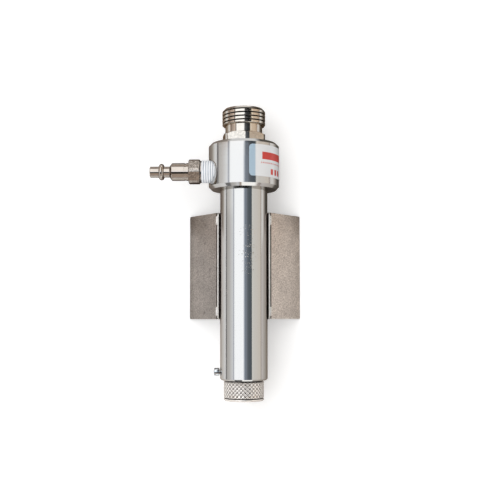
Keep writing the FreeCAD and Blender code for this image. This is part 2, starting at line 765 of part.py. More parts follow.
def make_label():
    """Thin label that wraps part of the head, with rounded corners."""
    inner_r = head_r + face_gap
    outer_r = inner_r + label_t
    high_y = head_top_y - label_drop
    low_y = high_y - label_len
    patch = turned([(inner_r, low_y), (outer_r, low_y), (outer_r, high_y), (inner_r, high_y)],
                   sweep=label_sweep_turn)
    patch.rotate(ORIGIN, TUBE_AXIS, label_start_turn - 90)
    corner_turn = math.degrees(label_corner_r / outer_r)
    for edge_turn, step in ((label_start_turn, 1), (label_start_turn + label_sweep_turn, -1)):
        for edge_y, rise in ((low_y, 1), (high_y, -1)):
            turn = math.radians(edge_turn + step * corner_turn)
            outward = V(math.sin(turn), 0, math.cos(turn))
            centre = V(0, edge_y + rise * label_corner_r, 0)
            keep = rod(label_corner_r, centre, outward, outer_r + cut_over)
            block = Part.makeBox(label_corner_r, label_corner_r, outer_r + cut_over,
                                 V(-label_corner_r if step > 0 else 0,
                                   -label_corner_r if rise > 0 else 0, 0))
            block.rotate(ORIGIN, TUBE_AXIS, math.degrees(turn))
            block.translate(centre)
            patch = patch.cut(block.cut(keep))
    return patch


def build():
    """All the nodes of the vortex tube, by name."""
    saddle = make_saddle()
    left_wing = make_wing(-1)
    right_wing = make_wing(1)
    return {
        "head_body": make_head(),
        "cold_outlet_fitting": make_outlet_fitting(),
        "outlet_seal": make_outlet_seal(),
        "orifice_seal": make_orifice_seal(),
        "cold_orifice": make_orifice(),
        "vortex_generator": make_generator(),
        "hot_tube": make_hot_tube(),
        "hot_tube_seal": make_hot_tube_seal(),
        "outer_tube": make_outer_tube(),
        "insulation_sleeve": make_insulation(),
        "swirl_breaker": make_swirl_breaker(),
        "valve_seat": make_valve_seat(),
        "valve_carrier": make_valve_carrier(),
        "retaining_clip": make_retaining_clip(),
        "valve_stem": make_valve_stem(),
        "control_knob": make_knob(),
        "friction_ring": make_friction_ring(),
        "stop_screw": make_stop_screw(),
        "inlet_plug": make_inlet_plug(),
        "thread_tape": make_thread_tape(),
        "tube_saddle": saddle,
        "left_wing": left_wing,
        "right_wing": right_wing,
        "tack_welds": make_tack_welds([left_wing, right_wing]),
        "saddle_screws": make_saddle_screws(),
        "label": make_label(),
    }


os.makedirs("parts", exist_ok=True)
for name, shape in build().items():
    shape.exportStep("parts/" + name + ".step")
    box = shape.BoundBox
    lowest = [round(value, 2) for value in (box.XMin, box.YMin, box.ZMin)]
    highest = [round(value, 2) for value in (box.XMax, box.YMax, box.ZMax)]
    print(name, len(shape.Solids), shape.isValid(), round(shape.Volume, 1), lowest, highest)
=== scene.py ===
# %% [markdown]
# # Vortex tube
# A vortex tube splits compressed air into a cold and a hot stream. The one built here is
# mostly bright turned metal, so the lesson is about metal: a polished cylinder has hardly
# any look of its own, and shows the studio round it as long stripes. The construction
# comes from a fixed frame in metres, with the tube along Y, the cold outlet at the origin
# and +Z up. This script adds finishes, and the pieces whose form is finer than the frame's.

# %% Load the frame
import bpy
import math
from mathutils import Matrix, Vector


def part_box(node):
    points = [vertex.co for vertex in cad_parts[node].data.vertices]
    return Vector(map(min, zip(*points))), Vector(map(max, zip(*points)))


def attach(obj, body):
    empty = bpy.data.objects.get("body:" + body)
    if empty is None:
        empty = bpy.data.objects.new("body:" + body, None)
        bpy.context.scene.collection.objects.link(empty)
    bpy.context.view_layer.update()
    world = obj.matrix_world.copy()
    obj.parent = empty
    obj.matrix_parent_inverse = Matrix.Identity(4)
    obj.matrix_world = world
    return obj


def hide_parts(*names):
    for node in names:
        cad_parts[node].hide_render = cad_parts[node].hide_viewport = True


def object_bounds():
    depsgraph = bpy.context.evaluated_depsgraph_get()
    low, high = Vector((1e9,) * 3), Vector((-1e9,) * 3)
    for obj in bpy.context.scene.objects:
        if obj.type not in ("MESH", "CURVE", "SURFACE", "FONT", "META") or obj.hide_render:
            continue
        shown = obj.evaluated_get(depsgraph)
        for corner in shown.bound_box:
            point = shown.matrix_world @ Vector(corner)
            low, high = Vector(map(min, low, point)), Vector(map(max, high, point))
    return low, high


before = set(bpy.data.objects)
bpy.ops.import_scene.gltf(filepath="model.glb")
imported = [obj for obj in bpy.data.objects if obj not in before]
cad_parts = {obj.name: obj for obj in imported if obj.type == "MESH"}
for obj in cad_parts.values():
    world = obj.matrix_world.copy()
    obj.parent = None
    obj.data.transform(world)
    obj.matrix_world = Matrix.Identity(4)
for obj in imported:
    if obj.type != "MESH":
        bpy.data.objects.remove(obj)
cad_low, cad_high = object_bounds()
MM = 0.001
print("frame", [round(side / MM, 1) for side in cad_high - cad_low], "mm")

# %% [markdown]
# ## Places taken from the frame
# Each place is read from the box of a node, so the pieces follow the frame if it changes.
# Only what no box tells, such as the pitch of a thread, is a named size here.

# %% Places
head_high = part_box("head_body")[1]
tube_low, tube_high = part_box("outer_tube")
knob_low, knob_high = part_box("control_knob")
plug_low, plug_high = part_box("inlet_plug")
tape_low, tape_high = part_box("thread_tape")
label_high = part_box("label")[1]
floor_z = cad_low.z
head_r = head_high.x
tube_r = tube_high.x
knob_r = knob_high.x
port_y = (plug_low.y + plug_high.y) / 2
port_z = (plug_low.z + plug_high.z) / 2
print("head", round(head_r / MM, 2), "tube", round(tube_r / MM, 2), "knob", round(knob_r / MM, 2))

# %% [markdown]
# ## Camera
# The photograph looks straight down on the tube, a little from the right and from the knob's
# end, from half a metre away. A camera needs a place, a direction and a lens. The small
# upward shift keeps the picture's frame without tilting the camera.

# %% Camera
FRAME_PX = 480
SENSOR_MM = 36.0
FOCAL_PX = 876.9
SHIFT_PX = 32
CAMERA_PLACE = Vector((14.51, -126.5, 527.22)) * MM
LOOK = Vector((-15.95, 26.39, -500.0)).normalized()

lens = bpy.data.cameras.new("photo_camera")
lens.sensor_width = SENSOR_MM
lens.lens = FOCAL_PX / FRAME_PX * SENSOR_MM
lens.shift_y = SHIFT_PX / FRAME_PX
lens.clip_start = 0.01
camera = bpy.data.objects.new("photo_camera", lens)
bpy.context.scene.collection.objects.link(camera)
right = LOOK.cross(Vector((0, 1, 0))).normalized()
above = right.cross(LOOK)
turn = Matrix((right, above, -LOOK)).transposed()
camera.matrix_world = Matrix.Translation(CAMERA_PLACE) @ turn.to_4x4()
bpy.context.scene.camera = camera
bpy.context.scene.view_settings.view_transform = "Standard"
print("lens", round(lens.lens, 2), "mm")

# %% [markdown]
# ## Helpers for materials
# A material is a tree of small machines, called nodes. `add` puts in one node with its
# settings and its inputs, and an input is either a plain value or the node that feeds it.
# Inputs go by name, or by number where names repeat: those of a sum are 0, 1 and 2, a range
# takes 0 from between 1 and 2 to between 3 and 4, and a mix has its share at 0 and its two
# colours at 6 and 7. Colours are written as sRGB hex, as a colour picker shows them, and
# Blender computes in linear light, so one function turns the first into the second.

# %% Material helpers
def linear(hex_colour):
    """An sRGB hex colour as linear RGBA."""
    channels = []
    for i in (0, 2, 4):
        value = int(hex_colour[i:i + 2], 16) / 255
        channels.append(value / 12.92 if value <= 0.04045 else ((value + 0.055) / 1.055) ** 2.4)
    return (*channels, 1.0)


def add(tree, kind, inputs=None, stops=None, **settings):
    """Add a node with its settings, a ramp's stops, and its inputs as values or sources."""
    made = tree.nodes.new("ShaderNode" + kind)
    for name, value in settings.items():
        setattr(made, name, value)
    if stops:
        points = made.color_ramp.elements
        points.remove(points[1])
        points[0].position, points[0].color = stops[0]
        for place, colour in stops[1:]:
            points.new(place).color = colour
    for socket, value in (inputs or {}).items():
        if isinstance(value, bpy.types.Node):
            value = next(output for output in value.outputs if output.enabled)
        if isinstance(value, bpy.types.NodeSocket):
            tree.links.new(value, made.inputs[socket])
        else:
            made.inputs[socket].default_value = value
    return made


def within(tree, value, low, high):
    """1 where a value lies between two limits, and 0 elsewhere."""
    past_low = add(tree, "Math", {0: value, 1: low}, operation="GREATER_THAN")
    below_high = add(tree, "Math", {0: value, 1: high}, operation="LESS_THAN")
    return add(tree, "Math", {0: past_low, 1: below_high}, operation="MULTIPLY")


def blank(name):
    """A new material with an empty tree."""
    material = bpy.data.materials.new(name)
    material.use_nodes = True
    material.node_tree.nodes.clear()
    return material, material.node_tree


def surface(material, colour, blur, relief, metal=0.0, tint="FFFFFF", more=None):
    """End a material's tree with one shader, tinted at grazing angles."""
    shader = add(material.node_tree, "BsdfPrincipled", {
        "Base Color": colour, "Roughness": blur, "Normal": relief, "Metallic": metal,
        "Specular Tint": linear(tint), **(more or {})})
    add(material.node_tree, "OutputMaterial", {"Surface": shader})
    return material


print("white is", [round(channel, 2) for channel in linear("FFFFFF")])

# %% [markdown]
# ## The studio round the tube
# The stripes on the metal are the room: a wide soft light on the left that reaches nearly
# overhead, a dark flag right beside it, a warm wall on the right and a darker strip at each
# horizon. All lie along the tube, so the strength of the light depends mainly on the angle
# round the Y axis. A world shader can say that directly, with no lamps to place. Past the
# head the walls are browner and the flag is blacker, so there is a second set of bands for
# directions that lean that way. Each band is an angle in degrees, and the strength of its
# red, green and blue light in percent of white.

# %% Bands of light
NEAR_BANDS = [
    (-100, 20, 20, 20), (-90, 22, 21, 21), (-87.5, 54, 52, 50), (-72, 66, 64, 62),
    (-55, 86, 87, 89), (-52.5, 84, 86, 90), (-51, 58, 60, 65), (-46.5, 60, 62, 68),
    (-45, 128, 130, 133), (-38, 136, 138, 141), (-1.5, 136, 138, 142), (3.5, 58, 63, 71),
    (7, 27, 31, 37), (15, 26, 29, 34), (17.5, 19, 21, 24), (24, 13, 15, 17), (38, 10, 12, 14),
    (40.5, 16, 17, 17), (42, 92, 90, 85), (50, 81, 78, 73), (66, 81, 76, 70), (89, 78, 71, 63),
    (92, 52, 46, 42), (100, 42, 37, 34),
]
FAR_BANDS = [
    (-100, 50, 40, 32), (-90, 62, 50, 42), (-84, 24, 17, 13), (-78, 24, 17, 13),
    (-75, 50, 39, 32), (-60, 56, 43, 34), (-57, 80, 64, 52), (-52, 62, 49, 40),
    (-50, 16, 14, 13), (-46, 30, 27, 25), (-44, 142, 140, 138), (2, 145, 145, 145),
    (5, 60, 60, 60), (8, 7, 7, 7), (15, 5, 5, 5), (30, 1.5, 1.5, 1.5), (40.5, 1.5, 1.5, 1.5),
    (43, 85, 74, 60), (46, 110, 93, 74), (51, 80, 64, 50), (70, 78, 61, 46), (82, 62, 47, 34),
    (92, 44, 33, 26), (100, 40, 30, 24),
]
print("bands", len(NEAR_BANDS), "and", len(FAR_BANDS))

# %% [markdown]
# ## The walls
# The world shader is given the direction of each ray. The angle of that direction round Y
# picks a colour from a ramp, and its Y tells how far it leans past the head. The head and
# the tube mirror different parts of the room, so the wall on the left can be a little
# lighter for the head alone.

# %% Walls of the studio
LIGHT_SCALE = 1.5        # a ramp holds nothing above 1, so this is put back at the end
HEAD_ONLY = (0.119, 0.123)
LEFT_WALL = (-50, -54)
LEFT_LIFT = 0.2
PAST_HEAD = (0.198, 0.204)

world = bpy.data.worlds.new("studio")
bpy.context.scene.world = world
world.use_nodes = True
sky = world.node_tree
sky.nodes.clear()
direction = add(sky, "TexCoord").outputs["Generated"]
lean = add(sky, "SeparateXYZ", {"Vector": direction}).outputs
round_y = add(sky, "Math", {0: lean["X"], 1: lean["Z"]}, operation="ARCTAN2")
round_share = add(sky, "Math", {0: round_y, 1: 1 / (2 * math.pi), 2: 0.5},
                  operation="MULTIPLY_ADD")
walls = []
for bands in (NEAR_BANDS, FAR_BANDS):
    stops = [(0.5 + angle / 360, [channel / 100 / LIGHT_SCALE for channel in colour] + [1.0])
             for angle, *colour in bands]
    walls.append(add(sky, "ValToRGB", {"Fac": round_share}, stops=stops))
near_wall, far_wall = walls
by_head = add(sky, "MapRange", {0: lean["Y"], 1: HEAD_ONLY[0], 2: HEAD_ONLY[1]})
on_left = add(sky, "MapRange", {0: round_y, 1: math.radians(LEFT_WALL[0]),
                                2: math.radians(LEFT_WALL[1])})
lift = add(sky, "Math", {0: by_head, 1: on_left}, operation="MULTIPLY")
lift = add(sky, "Math", {0: lift, 1: LEFT_LIFT, 2: 1.0}, operation="MULTIPLY_ADD")
near_wall = add(sky, "VectorMath", {0: near_wall, 3: lift}, operation="SCALE")
past_head = add(sky, "MapRange", {0: lean["Y"], 1: PAST_HEAD[0], 2: PAST_HEAD[1]})
room = add(sky, "Mix", {0: past_head, 6: near_wall, 7: far_wall}, data_type="RGBA")
print("walls", len(walls))

# %% [markdown]
# ## The ends of the room
# Rims, hexagons and the sides of the plug also mirror the room's two ends. Overhead each end
# has a dark wall, and low down a bright window, except on the plug's side. The walls' colours
# and shares are placed along Y, from 0 at the knob's end to 1 at the outlet's. Matt surfaces
# take only a part of them.

# %% Ends of the studio
DARK_FLAG = (0.015, 0.015, 0.015, 1.0)
KNOB_WALL = (0.33, 0.275, 0.235, 1.0)
OUTLET_WALL = (0.24, 0.21, 0.19, 1.0)
END_COLOURS = [(0.0, KNOB_WALL), (0.235, KNOB_WALL), (0.25, DARK_FLAG), (0.47, DARK_FLAG),
               (0.50, OUTLET_WALL)]
END_SHARES = [(0.0, 1.0), (0.438, 1.0), (0.444, 0.0), (0.94, 0.0), (0.95, 1.0)]
MATT_END_SHARE = 0.3
OVERHEAD = [(-52, -42), (30, 20)]
WINDOW = (0.90, 0.89, 0.87, 1.0)
WINDOW_LOW = (0.90, 0.94)
WINDOW_SIDE = (-0.08, -0.06)

ray = add(sky, "LightPath").outputs
along_share = add(sky, "Math", {0: lean["Y"], 1: 0.5, 2: 0.5}, operation="MULTIPLY_ADD")
end_colour = add(sky, "ValToRGB", {"Fac": along_share}, stops=END_COLOURS)
end_share = add(sky, "ValToRGB", {"Fac": along_share},
                stops=[(place, (share, share, share, 1.0)) for place, share in END_SHARES])
kept = add(sky, "MapRange", {0: ray["Is Diffuse Ray"], 3: 1.0, 4: MATT_END_SHARE})
end_share = add(sky, "Math", {0: end_share, 1: kept}, operation="MULTIPLY")
for turn_out, turn_in in OVERHEAD:
    overhead = add(sky, "MapRange", {0: round_y, 1: math.radians(turn_out),
                                     2: math.radians(turn_in)})
    end_share = add(sky, "Math", {0: end_share, 1: overhead}, operation="MULTIPLY")
room = add(sky, "Mix", {0: end_share, 6: room, 7: end_colour}, data_type="RGBA")
either_end = add(sky, "Math", {0: lean["Y"]}, operation="ABSOLUTE")
low_end = add(sky, "MapRange", {0: either_end, 1: WINDOW_LOW[0], 2: WINDOW_LOW[1]})
clear_side = add(sky, "MapRange", {0: lean["X"], 1: WINDOW_SIDE[0], 2: WINDOW_SIDE[1]})
window = add(sky, "Math", {0: low_end, 1: clear_side}, operation="MULTIPLY")
room = add(sky, "Mix", {0: window, 6: room, 7: WINDOW}, data_type="RGBA")
print("end walls", len(END_COLOURS), "colours")

# %% [markdown]
# ## What each kind of ray sees
# Mirrors see the room with its tints. What falls on matt surfaces is the same light without
# its tint, and stronger. The camera sees plain white, as the photograph's background is, and
# so does a ray that has passed through something clear.

# %% Light for each kind of ray
DIFFUSE_BOOST = 1.55
WHITE = (1.0, 1.0, 1.0, 1.0)

evened = add(sky, "RGBToBW", {"Color": room})
room = add(sky, "Mix", {0: ray["Is Diffuse Ray"], 6: room, 7: evened}, data_type="RGBA")
level = add(sky, "Math", {0: ray["Is Diffuse Ray"], 1: LIGHT_SCALE * (DIFFUSE_BOOST - 1),
                          2: LIGHT_SCALE}, operation="MULTIPLY_ADD")
studio_light = add(sky, "Background", {"Color": room, "Strength": level})
white = add(sky, "Background", {"Color": WHITE, "Strength": 1.0})
seen = add(sky, "Math", {0: ray["Is Camera Ray"], 1: ray["Is Transmission Ray"]},
           operation="MAXIMUM")
sky_mix = add(sky, "MixShader", {0: seen, 1: studio_light, 2: white})
add(sky, "OutputWorld", {"Surface": sky_mix})
print("world nodes", len(sky.nodes))

# %% [markdown]
# ## Floor
# The tube lies on a plain white table, a large plane a hair below the lowest point. A little
# glow, seen by the camera and faintly in mirrors, lifts it to the photograph's white and
# leaves the soft shadow in it. The photograph's metal mirrors a table that is browner and
# darker close to the part, most of all right of the head. So only mirrors see browns painted
# on the table close to the part, a painted shade that runs from left to right, one row
# beside the head and one beside the tube. From below the table is clear, to show the part's
# underside.

# %% Floor
TABLE_SIZE = 620 * MM
TABLE_GAP = 0.02 * MM
TABLE_WHITE = "EFEFEF"
CAMERA_GLOW = 0.31
MIRROR_GLOW = 0.02
BROWN_REACH = 120 * MM
BESIDE_HEAD = [(0.0, "EFEFEF"), (0.12, "DAD6D1"), (0.24, "ADA49B"), (0.40, "958981"),
               (0.60, "696159"), (0.68, "595550"), (0.80, "C4BCB5"), (0.92, "ECEAE7")]
BESIDE_TUBE = [(0.0, "EFEFEF"), (0.38, "E5E1DD"), (0.50, "C2BAB3"), (0.64, "B1AAA2"),
               (0.76, "C2BCB6"), (1.0, "D4CECA")]
TUBE_TO_HEAD = (-74 * MM, -66 * MM)
BROWN_END = (100 * MM, 60 * MM)


def deselect():
    """Nothing selected, and no object in edit mode."""
    if bpy.context.object and bpy.context.object.mode != "OBJECT":
        bpy.ops.object.mode_set(mode="OBJECT")
    bpy.ops.object.select_all(action="DESELECT")


deselect()
bpy.ops.mesh.primitive_plane_add(size=TABLE_SIZE, location=(0, 0, floor_z - TABLE_GAP))
bpy.ops.object.transform_apply(location=True)
floor = bpy.context.object
floor.name = "table"
paper, tree = blank("matt_white_table")
ray = add(tree, "LightPath").outputs
place = add(tree, "TexCoord").outputs["Object"]
on_table = add(tree, "SeparateXYZ", {"Vector": place}).outputs
# Painted shade seen only in mirrors: browns across the table close to the part.
across = add(tree, "MapRange", {0: on_table["X"], 1: -BROWN_REACH, 2: BROWN_REACH})
by_head, by_tube = (add(tree, "ValToRGB", {"Fac": across},
                        stops=[(share, linear(colour)) for share, colour in browns])
                    for browns in (BESIDE_HEAD, BESIDE_TUBE))
at_head = add(tree, "MapRange", {0: on_table["Y"], 1: TUBE_TO_HEAD[0], 2: TUBE_TO_HEAD[1]})
mirror_shade_brown = add(tree, "Mix", {0: at_head, 6: by_tube, 7: by_head}, data_type="RGBA")
near = add(tree, "MapRange", {0: on_table["Y"], 1: BROWN_END[0], 2: BROWN_END[1]})
mirror_shade_share = add(tree, "Math", {0: ray["Is Glossy Ray"], 1: near}, operation="MULTIPLY")
shown = add(tree, "Mix", {0: mirror_shade_share, 6: linear(TABLE_WHITE), 7: mirror_shade_brown}, data_type="RGBA")
matt = add(tree, "BsdfDiffuse", {"Color": shown})
seen = add(tree, "Math", {0: ray["Is Camera Ray"], 1: ray["Is Transmission Ray"]},
           operation="MAXIMUM")
mirrored = add(tree, "Math", {0: ray["Is Glossy Ray"], 1: MIRROR_GLOW}, operation="MULTIPLY")
glow_level = add(tree, "Math", {0: seen, 1: CAMERA_GLOW, 2: mirrored}, operation="MULTIPLY_ADD")
glow = add(tree, "Emission", {"Color": WHITE, "Strength": glow_level})
lit = add(tree, "AddShader", {0: matt, 1: glow})
below = add(tree, "NewGeometry").outputs["Backfacing"]
clear = add(tree, "BsdfTransparent")
from_below = add(tree, "MixShader", {0: below, 1: lit, 2: clear})
add(tree, "OutputMaterial", {"Surface": from_below})
floor.data.materials.append(paper)
print("floor at", round(floor_z / MM, 2), "mm")

# %% [markdown]
# ## How turned and drawn metal is marked
# A lathe leaves fine rings round the axis, and a drawing die leaves fine lines along it. Both
# are a noise that is stretched one way: it is read at the distance from the axis and the
# place along it for rings, and at the angle round the axis for lines. The first helper works
# those out from Object coordinates, so the marks stay on the metal as it moves. The second
# is for edges, which are never quite sharp: a bevel node rounds the normal there, and where
# that leaves the true normal, use has rubbed the metal bright.

# %% Marks and edges
RUBBED_EDGE = 0.12 * MM


def round_axis(tree, axis="Y", centre=(0.0, 0.0)):
    """The angle, radius and place along of a point round an axis, and the point itself."""
    place = add(tree, "TexCoord").outputs["Object"]
    split = add(tree, "SeparateXYZ", {"Vector": place}).outputs
    one, other, along = {"Y": ("X", "Z", "Y"), "X": ("Y", "Z", "X")}[axis]
    first = add(tree, "Math", {0: split[one], 1: centre[0]}, operation="SUBTRACT")
    second = add(tree, "Math", {0: split[other], 1: centre[1]}, operation="SUBTRACT")
    across = add(tree, "CombineXYZ", {"X": first, "Y": second})
    return {"angle": add(tree, "Math", {0: first, 1: second}, operation="ARCTAN2"),
            "radius": add(tree, "VectorMath", {0: across}, operation="LENGTH"),
            "along": split[along], "place": place}


def rubbed(tree, rounded, plain, bright):
    """A colour that turns to a brighter one where a normal has been rounded."""
    true_normal = add(tree, "NewGeometry").outputs["Normal"]
    alike = add(tree, "VectorMath", {0: rounded, 1: true_normal}, operation="DOT_PRODUCT")
    edge = add(tree, "MapRange", {0: alike, 1: 0.995, 2: 0.8})
    return add(tree, "Mix", {0: edge, 6: plain, 7: bright}, data_type="RGBA")


def paint(piece, material):
    """Give a piece, or a node of the frame, one material on all its faces."""
    piece.data.materials.clear()
    piece.data.materials.append(material)


print("edges rubbed", RUBBED_EDGE / MM, "mm wide")

# %% [markdown]
# ## Turned aluminium
# The head is aluminium, turned on a lathe and left bright. To the eye it is a mirror with a
# soft edge: clear stripes, slightly blurred across the rings, with a few rings deeper than
# the rest, a thin haze where hands have been and brighter, rubbed edges.

# %% Turned aluminium
BRIGHT_ALUMINIUM = linear("D4D4D3")
RUBBED_ALUMINIUM = linear("E4E4E3")


def turned_aluminium():
    """Bright aluminium with lathe rings."""
    material, tree = blank("turned_aluminium")
    at = round_axis(tree)
    lathe = add(tree, "CombineXYZ", {"X": at["radius"], "Y": at["along"]})
    fine = add(tree, "TexNoise", {"Vector": lathe, "Scale": 1 / (0.35 * MM), "Detail": 1.0})
    coarse = add(tree, "TexNoise", {"Vector": lathe, "Scale": 1 / (1.8 * MM), "Detail": 0.0})
    haze = add(tree, "TexNoise", {"Vector": at["place"], "Scale": 1 / (9 * MM), "Detail": 3.0})
    ring_blur = add(tree, "MapRange", {0: fine, 1: 0.3, 2: 0.7, 3: 0.05, 4: 0.09})
    hand_blur = add(tree, "MapRange", {0: haze, 1: 0.45, 2: 0.7, 3: 0.0, 4: 0.05})
    blur = add(tree, "Math", {0: ring_blur, 1: hand_blur}, operation="ADD")
    rounded = add(tree, "Bevel", {"Radius": RUBBED_EDGE}, samples=4)
    relief = add(tree, "Bump", {"Height": fine, "Distance": 0.0015 * MM, "Normal": rounded})
    relief = add(tree, "Bump", {"Height": coarse, "Distance": 0.004 * MM, "Normal": relief})
    colour = rubbed(tree, rounded, BRIGHT_ALUMINIUM, RUBBED_ALUMINIUM)
    return surface(material, colour, blur, relief, metal=1.0, tint="E1DEDA")


paint(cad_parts["head_body"], turned_aluminium())
print("painted head_body")

# %% [markdown]
# ## Drawn tube
# The long tube is aluminium pulled through a die and cut to length. Its marks run along it:
# faint lines a few tenths of a millimetre apart. In a few places grit was pressed in and
# left pits, and each such place is a point in millimetres and its reach. Toward its sides
# the tube looks a little darker and browner than a clean mirror, which the tint at grazing
# angles gives.

# %% Drawn aluminium
PITTED = [(2.8, -76.0, 14.0, 6.0), (3.6, -88.0, 13.8, 8.0), (3.0, -97.0, 14.0, 5.0),
          (-11.4, -111.0, 8.5, 5.0), (11.5, -141.0, 8.4, 4.0)]


def drawn_aluminium():
    """Bright aluminium with lines along the tube and a few pits."""
    material, tree = blank("drawn_aluminium")
    at = round_axis(tree)
    turn_mm = add(tree, "Math", {0: at["angle"], 1: tube_r / MM}, operation="MULTIPLY")
    slow_mm = add(tree, "Math", {0: at["along"], 1: 0.02 / MM}, operation="MULTIPLY")
    quick_mm = add(tree, "Math", {0: at["along"], 1: 0.25 / MM}, operation="MULTIPLY")
    die = add(tree, "CombineXYZ", {"X": turn_mm, "Y": slow_mm})
    patchy = add(tree, "CombineXYZ", {"X": turn_mm, "Y": quick_mm})
    lines = add(tree, "TexNoise", {"Vector": die, "Scale": 2.6, "Detail": 2.0})
    patches = add(tree, "TexNoise", {"Vector": patchy, "Scale": 0.5, "Detail": 3.0})
    pits = add(tree, "TexNoise", {"Vector": at["place"], "Scale": 1 / (0.9 * MM), "Detail": 1.0})
    line_blur = add(tree, "MapRange", {0: lines, 1: 0.3, 2: 0.7, 3: 0.05, 4: 0.08})
    patch_blur = add(tree, "MapRange", {0: patches, 1: 0.5, 2: 0.75, 3: 0.0, 4: 0.05})
    blur = add(tree, "Math", {0: line_blur, 1: patch_blur}, operation="ADD")
    pit = add(tree, "MapRange", {0: pits, 1: 0.64, 2: 0.74})
    struck = 0.0
    for x, y, z, reach in PITTED:
        away = add(tree, "VectorMath", {0: at["place"], 1: (x * MM, y * MM, z * MM)},
                   operation="DISTANCE")
        near = add(tree, "MapRange", {0: away, 1: reach * MM, 2: 0.4 * reach * MM})
        struck = add(tree, "Math", {0: near, 1: struck}, operation="MAXIMUM")
    pit = add(tree, "Math", {0: pit, 1: struck}, operation="MULTIPLY")
    rounded = add(tree, "Bevel", {"Radius": RUBBED_EDGE}, samples=4)
    relief = add(tree, "Bump", {"Height": lines, "Distance": 0.001 * MM, "Normal": rounded})
    relief = add(tree, "Bump", {"Height": pit, "Distance": 0.07 * MM, "Normal": relief},
                 invert=True)
    colour = rubbed(tree, rounded, BRIGHT_ALUMINIUM, RUBBED_ALUMINIUM)
    return surface(material, colour, blur, relief, metal=1.0, tint="CEC5BC")


paint(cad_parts["outer_tube"], drawn_aluminium())
print("pitted places", len(PITTED))

# %% [markdown]
# ## Plated brass and steel
# The cold outlet is brass under nickel, which keeps a warm tone at its edges. The plug is
# steel under a darker, polished nickel. On both, the flats of the hexagon were milled and
# are duller and speckled, while the round parts are polished. Real milling has a finer
# speckle than the 1.1 mm drawn here, which would not show. The roots of the outlet's thread
# are painted darker: the colour goes from dark at one radius to plain at another, between
# two places.

# %% Plated metals
def plated(name, colour, edge_colour, blur_level, axis, centre, milled, speckle, dulled,
           rooted=None):
    """Plated metal, polished on its round parts, speckled between two places along an axis."""
    material, tree = blank(name)
    at = round_axis(tree, axis, centre)
    lathe = add(tree, "CombineXYZ", {"X": at["radius"], "Y": at["along"]})
    rings = add(tree, "TexNoise", {"Vector": lathe, "Scale": 1 / (0.4 * MM), "Detail": 1.0})
    grain = add(tree, "TexNoise", {"Vector": at["place"], "Scale": 1 / (1.1 * MM), "Detail": 3.0,
                                   "Roughness": 0.7})
    cloud = add(tree, "TexNoise", {"Vector": at["place"], "Scale": 1 / (4 * MM), "Detail": 3.0})
    flats = within(tree, at["along"], *milled)
    polish = add(tree, "MapRange", {0: cloud, 1: 0.3, 2: 0.7, 3: blur_level * 0.8,
                                    4: blur_level * 1.3})
    blur = add(tree, "Math", {0: flats, 1: 0.10 * dulled, 2: polish}, operation="MULTIPLY_ADD")
    shade = add(tree, "MapRange", {0: cloud, 1: 0.35, 2: 0.65, 3: 0.92, 4: 1.0})
    shade = add(tree, "Math", {0: flats, 1: -0.2 * dulled, 2: shade}, operation="MULTIPLY_ADD")
    blotch = add(tree, "MapRange", {0: grain, 1: 0.42, 2: 0.58, 3: 1 - 0.2 * dulled,
                                    4: 1 + 0.2 * dulled})
    blotch = add(tree, "Mix", {0: flats, 2: 1.0, 3: blotch}, data_type="FLOAT")
    shade = add(tree, "Math", {0: shade, 1: blotch}, operation="MULTIPLY")
    tone = add(tree, "VectorMath", {0: linear(colour)[:3], 3: shade}, operation="SCALE")
    if rooted:
        deep_r, clean_r, from_y, to_y = rooted
        # Darker towards the thread's roots, between two places along the axis.
        depth = add(tree, "MapRange", {0: at["radius"], 1: clean_r, 2: deep_r})
        dark_roots = add(tree, "Math", {0: depth, 1: within(tree, at["along"], from_y, to_y)},
                    operation="MULTIPLY")
        tone = add(tree, "Mix", {0: dark_roots, 6: tone, 7: linear("3A2E24")}, data_type="RGBA")
    rounded = add(tree, "Bevel", {"Radius": RUBBED_EDGE}, samples=4)
    speckled = add(tree, "Math", {0: grain, 1: flats}, operation="MULTIPLY")
    relief = add(tree, "Bump", {"Height": rings, "Distance": 0.002 * MM, "Normal": rounded})
    relief = add(tree, "Bump", {"Height": speckled, "Distance": speckle, "Normal": relief})
    return surface(material, tone, blur, relief, metal=1.0, tint=edge_colour)


OUTLET_HEX = (head_high.y, head_high.y + 6.2 * MM)
THREAD_DARK_ROOTS = (12.45 * MM, 12.85 * MM, -10.0 * MM, -1.1 * MM)
PLUG_HEX = (-32.75 * MM, -25.45 * MM)
nickel_brass = plated("nickel_on_brass", "DFDCD6", "CFBBA2", 0.08, "Y", (0.0, 0.0),
                      OUTLET_HEX, 0.012 * MM, 0.4, THREAD_DARK_ROOTS)
nickel_steel = plated("polished_nickel_on_steel", "CCC4BC", "665A50", 0.07, "X",
                      (port_y, port_z), PLUG_HEX, 0.09 * MM, 1.0)
paint(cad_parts["inlet_plug"], nickel_steel)
print("hexagon of the outlet from", round(OUTLET_HEX[0] / MM, 1), "mm")

# %% [markdown]
# ## Making a working copy of a node
# A node's own mesh is never changed. Where its form has to become finer, the piece starts as
# a copy of it. The copy's triangles are loose, so they are merged, and flat regions are
# joined into single faces, which gives clean edges to cut and bevel.

# %% Working copies
COPY_MERGE = 0.002 * MM
MERGE = 0.001 * MM
FLAT_ANGLE = 0.5


def select_only(piece):
    """Make one piece the only selected and the active object."""
    deselect()
    piece.select_set(True)
    bpy.context.view_layer.objects.active = piece


def close_up():
    """Turn every face outward and leave edit mode."""
    bpy.ops.mesh.select_all(action="SELECT")
    bpy.ops.mesh.normals_make_consistent(inside=False)
    bpy.ops.object.mode_set(mode="OBJECT")


def working_copy(node, name):
    """A merged copy of a node's mesh, as a new piece."""
    piece = bpy.data.objects.new(name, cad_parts[node].data.copy())
    bpy.context.scene.collection.objects.link(piece)
    piece.data.materials.clear()
    select_only(piece)
    bpy.ops.object.mode_set(mode="EDIT")
    bpy.ops.mesh.select_all(action="SELECT")
    bpy.ops.mesh.remove_doubles(threshold=COPY_MERGE)
    bpy.ops.mesh.dissolve_limited(angle_limit=math.radians(FLAT_ANGLE))
    close_up()
    return piece


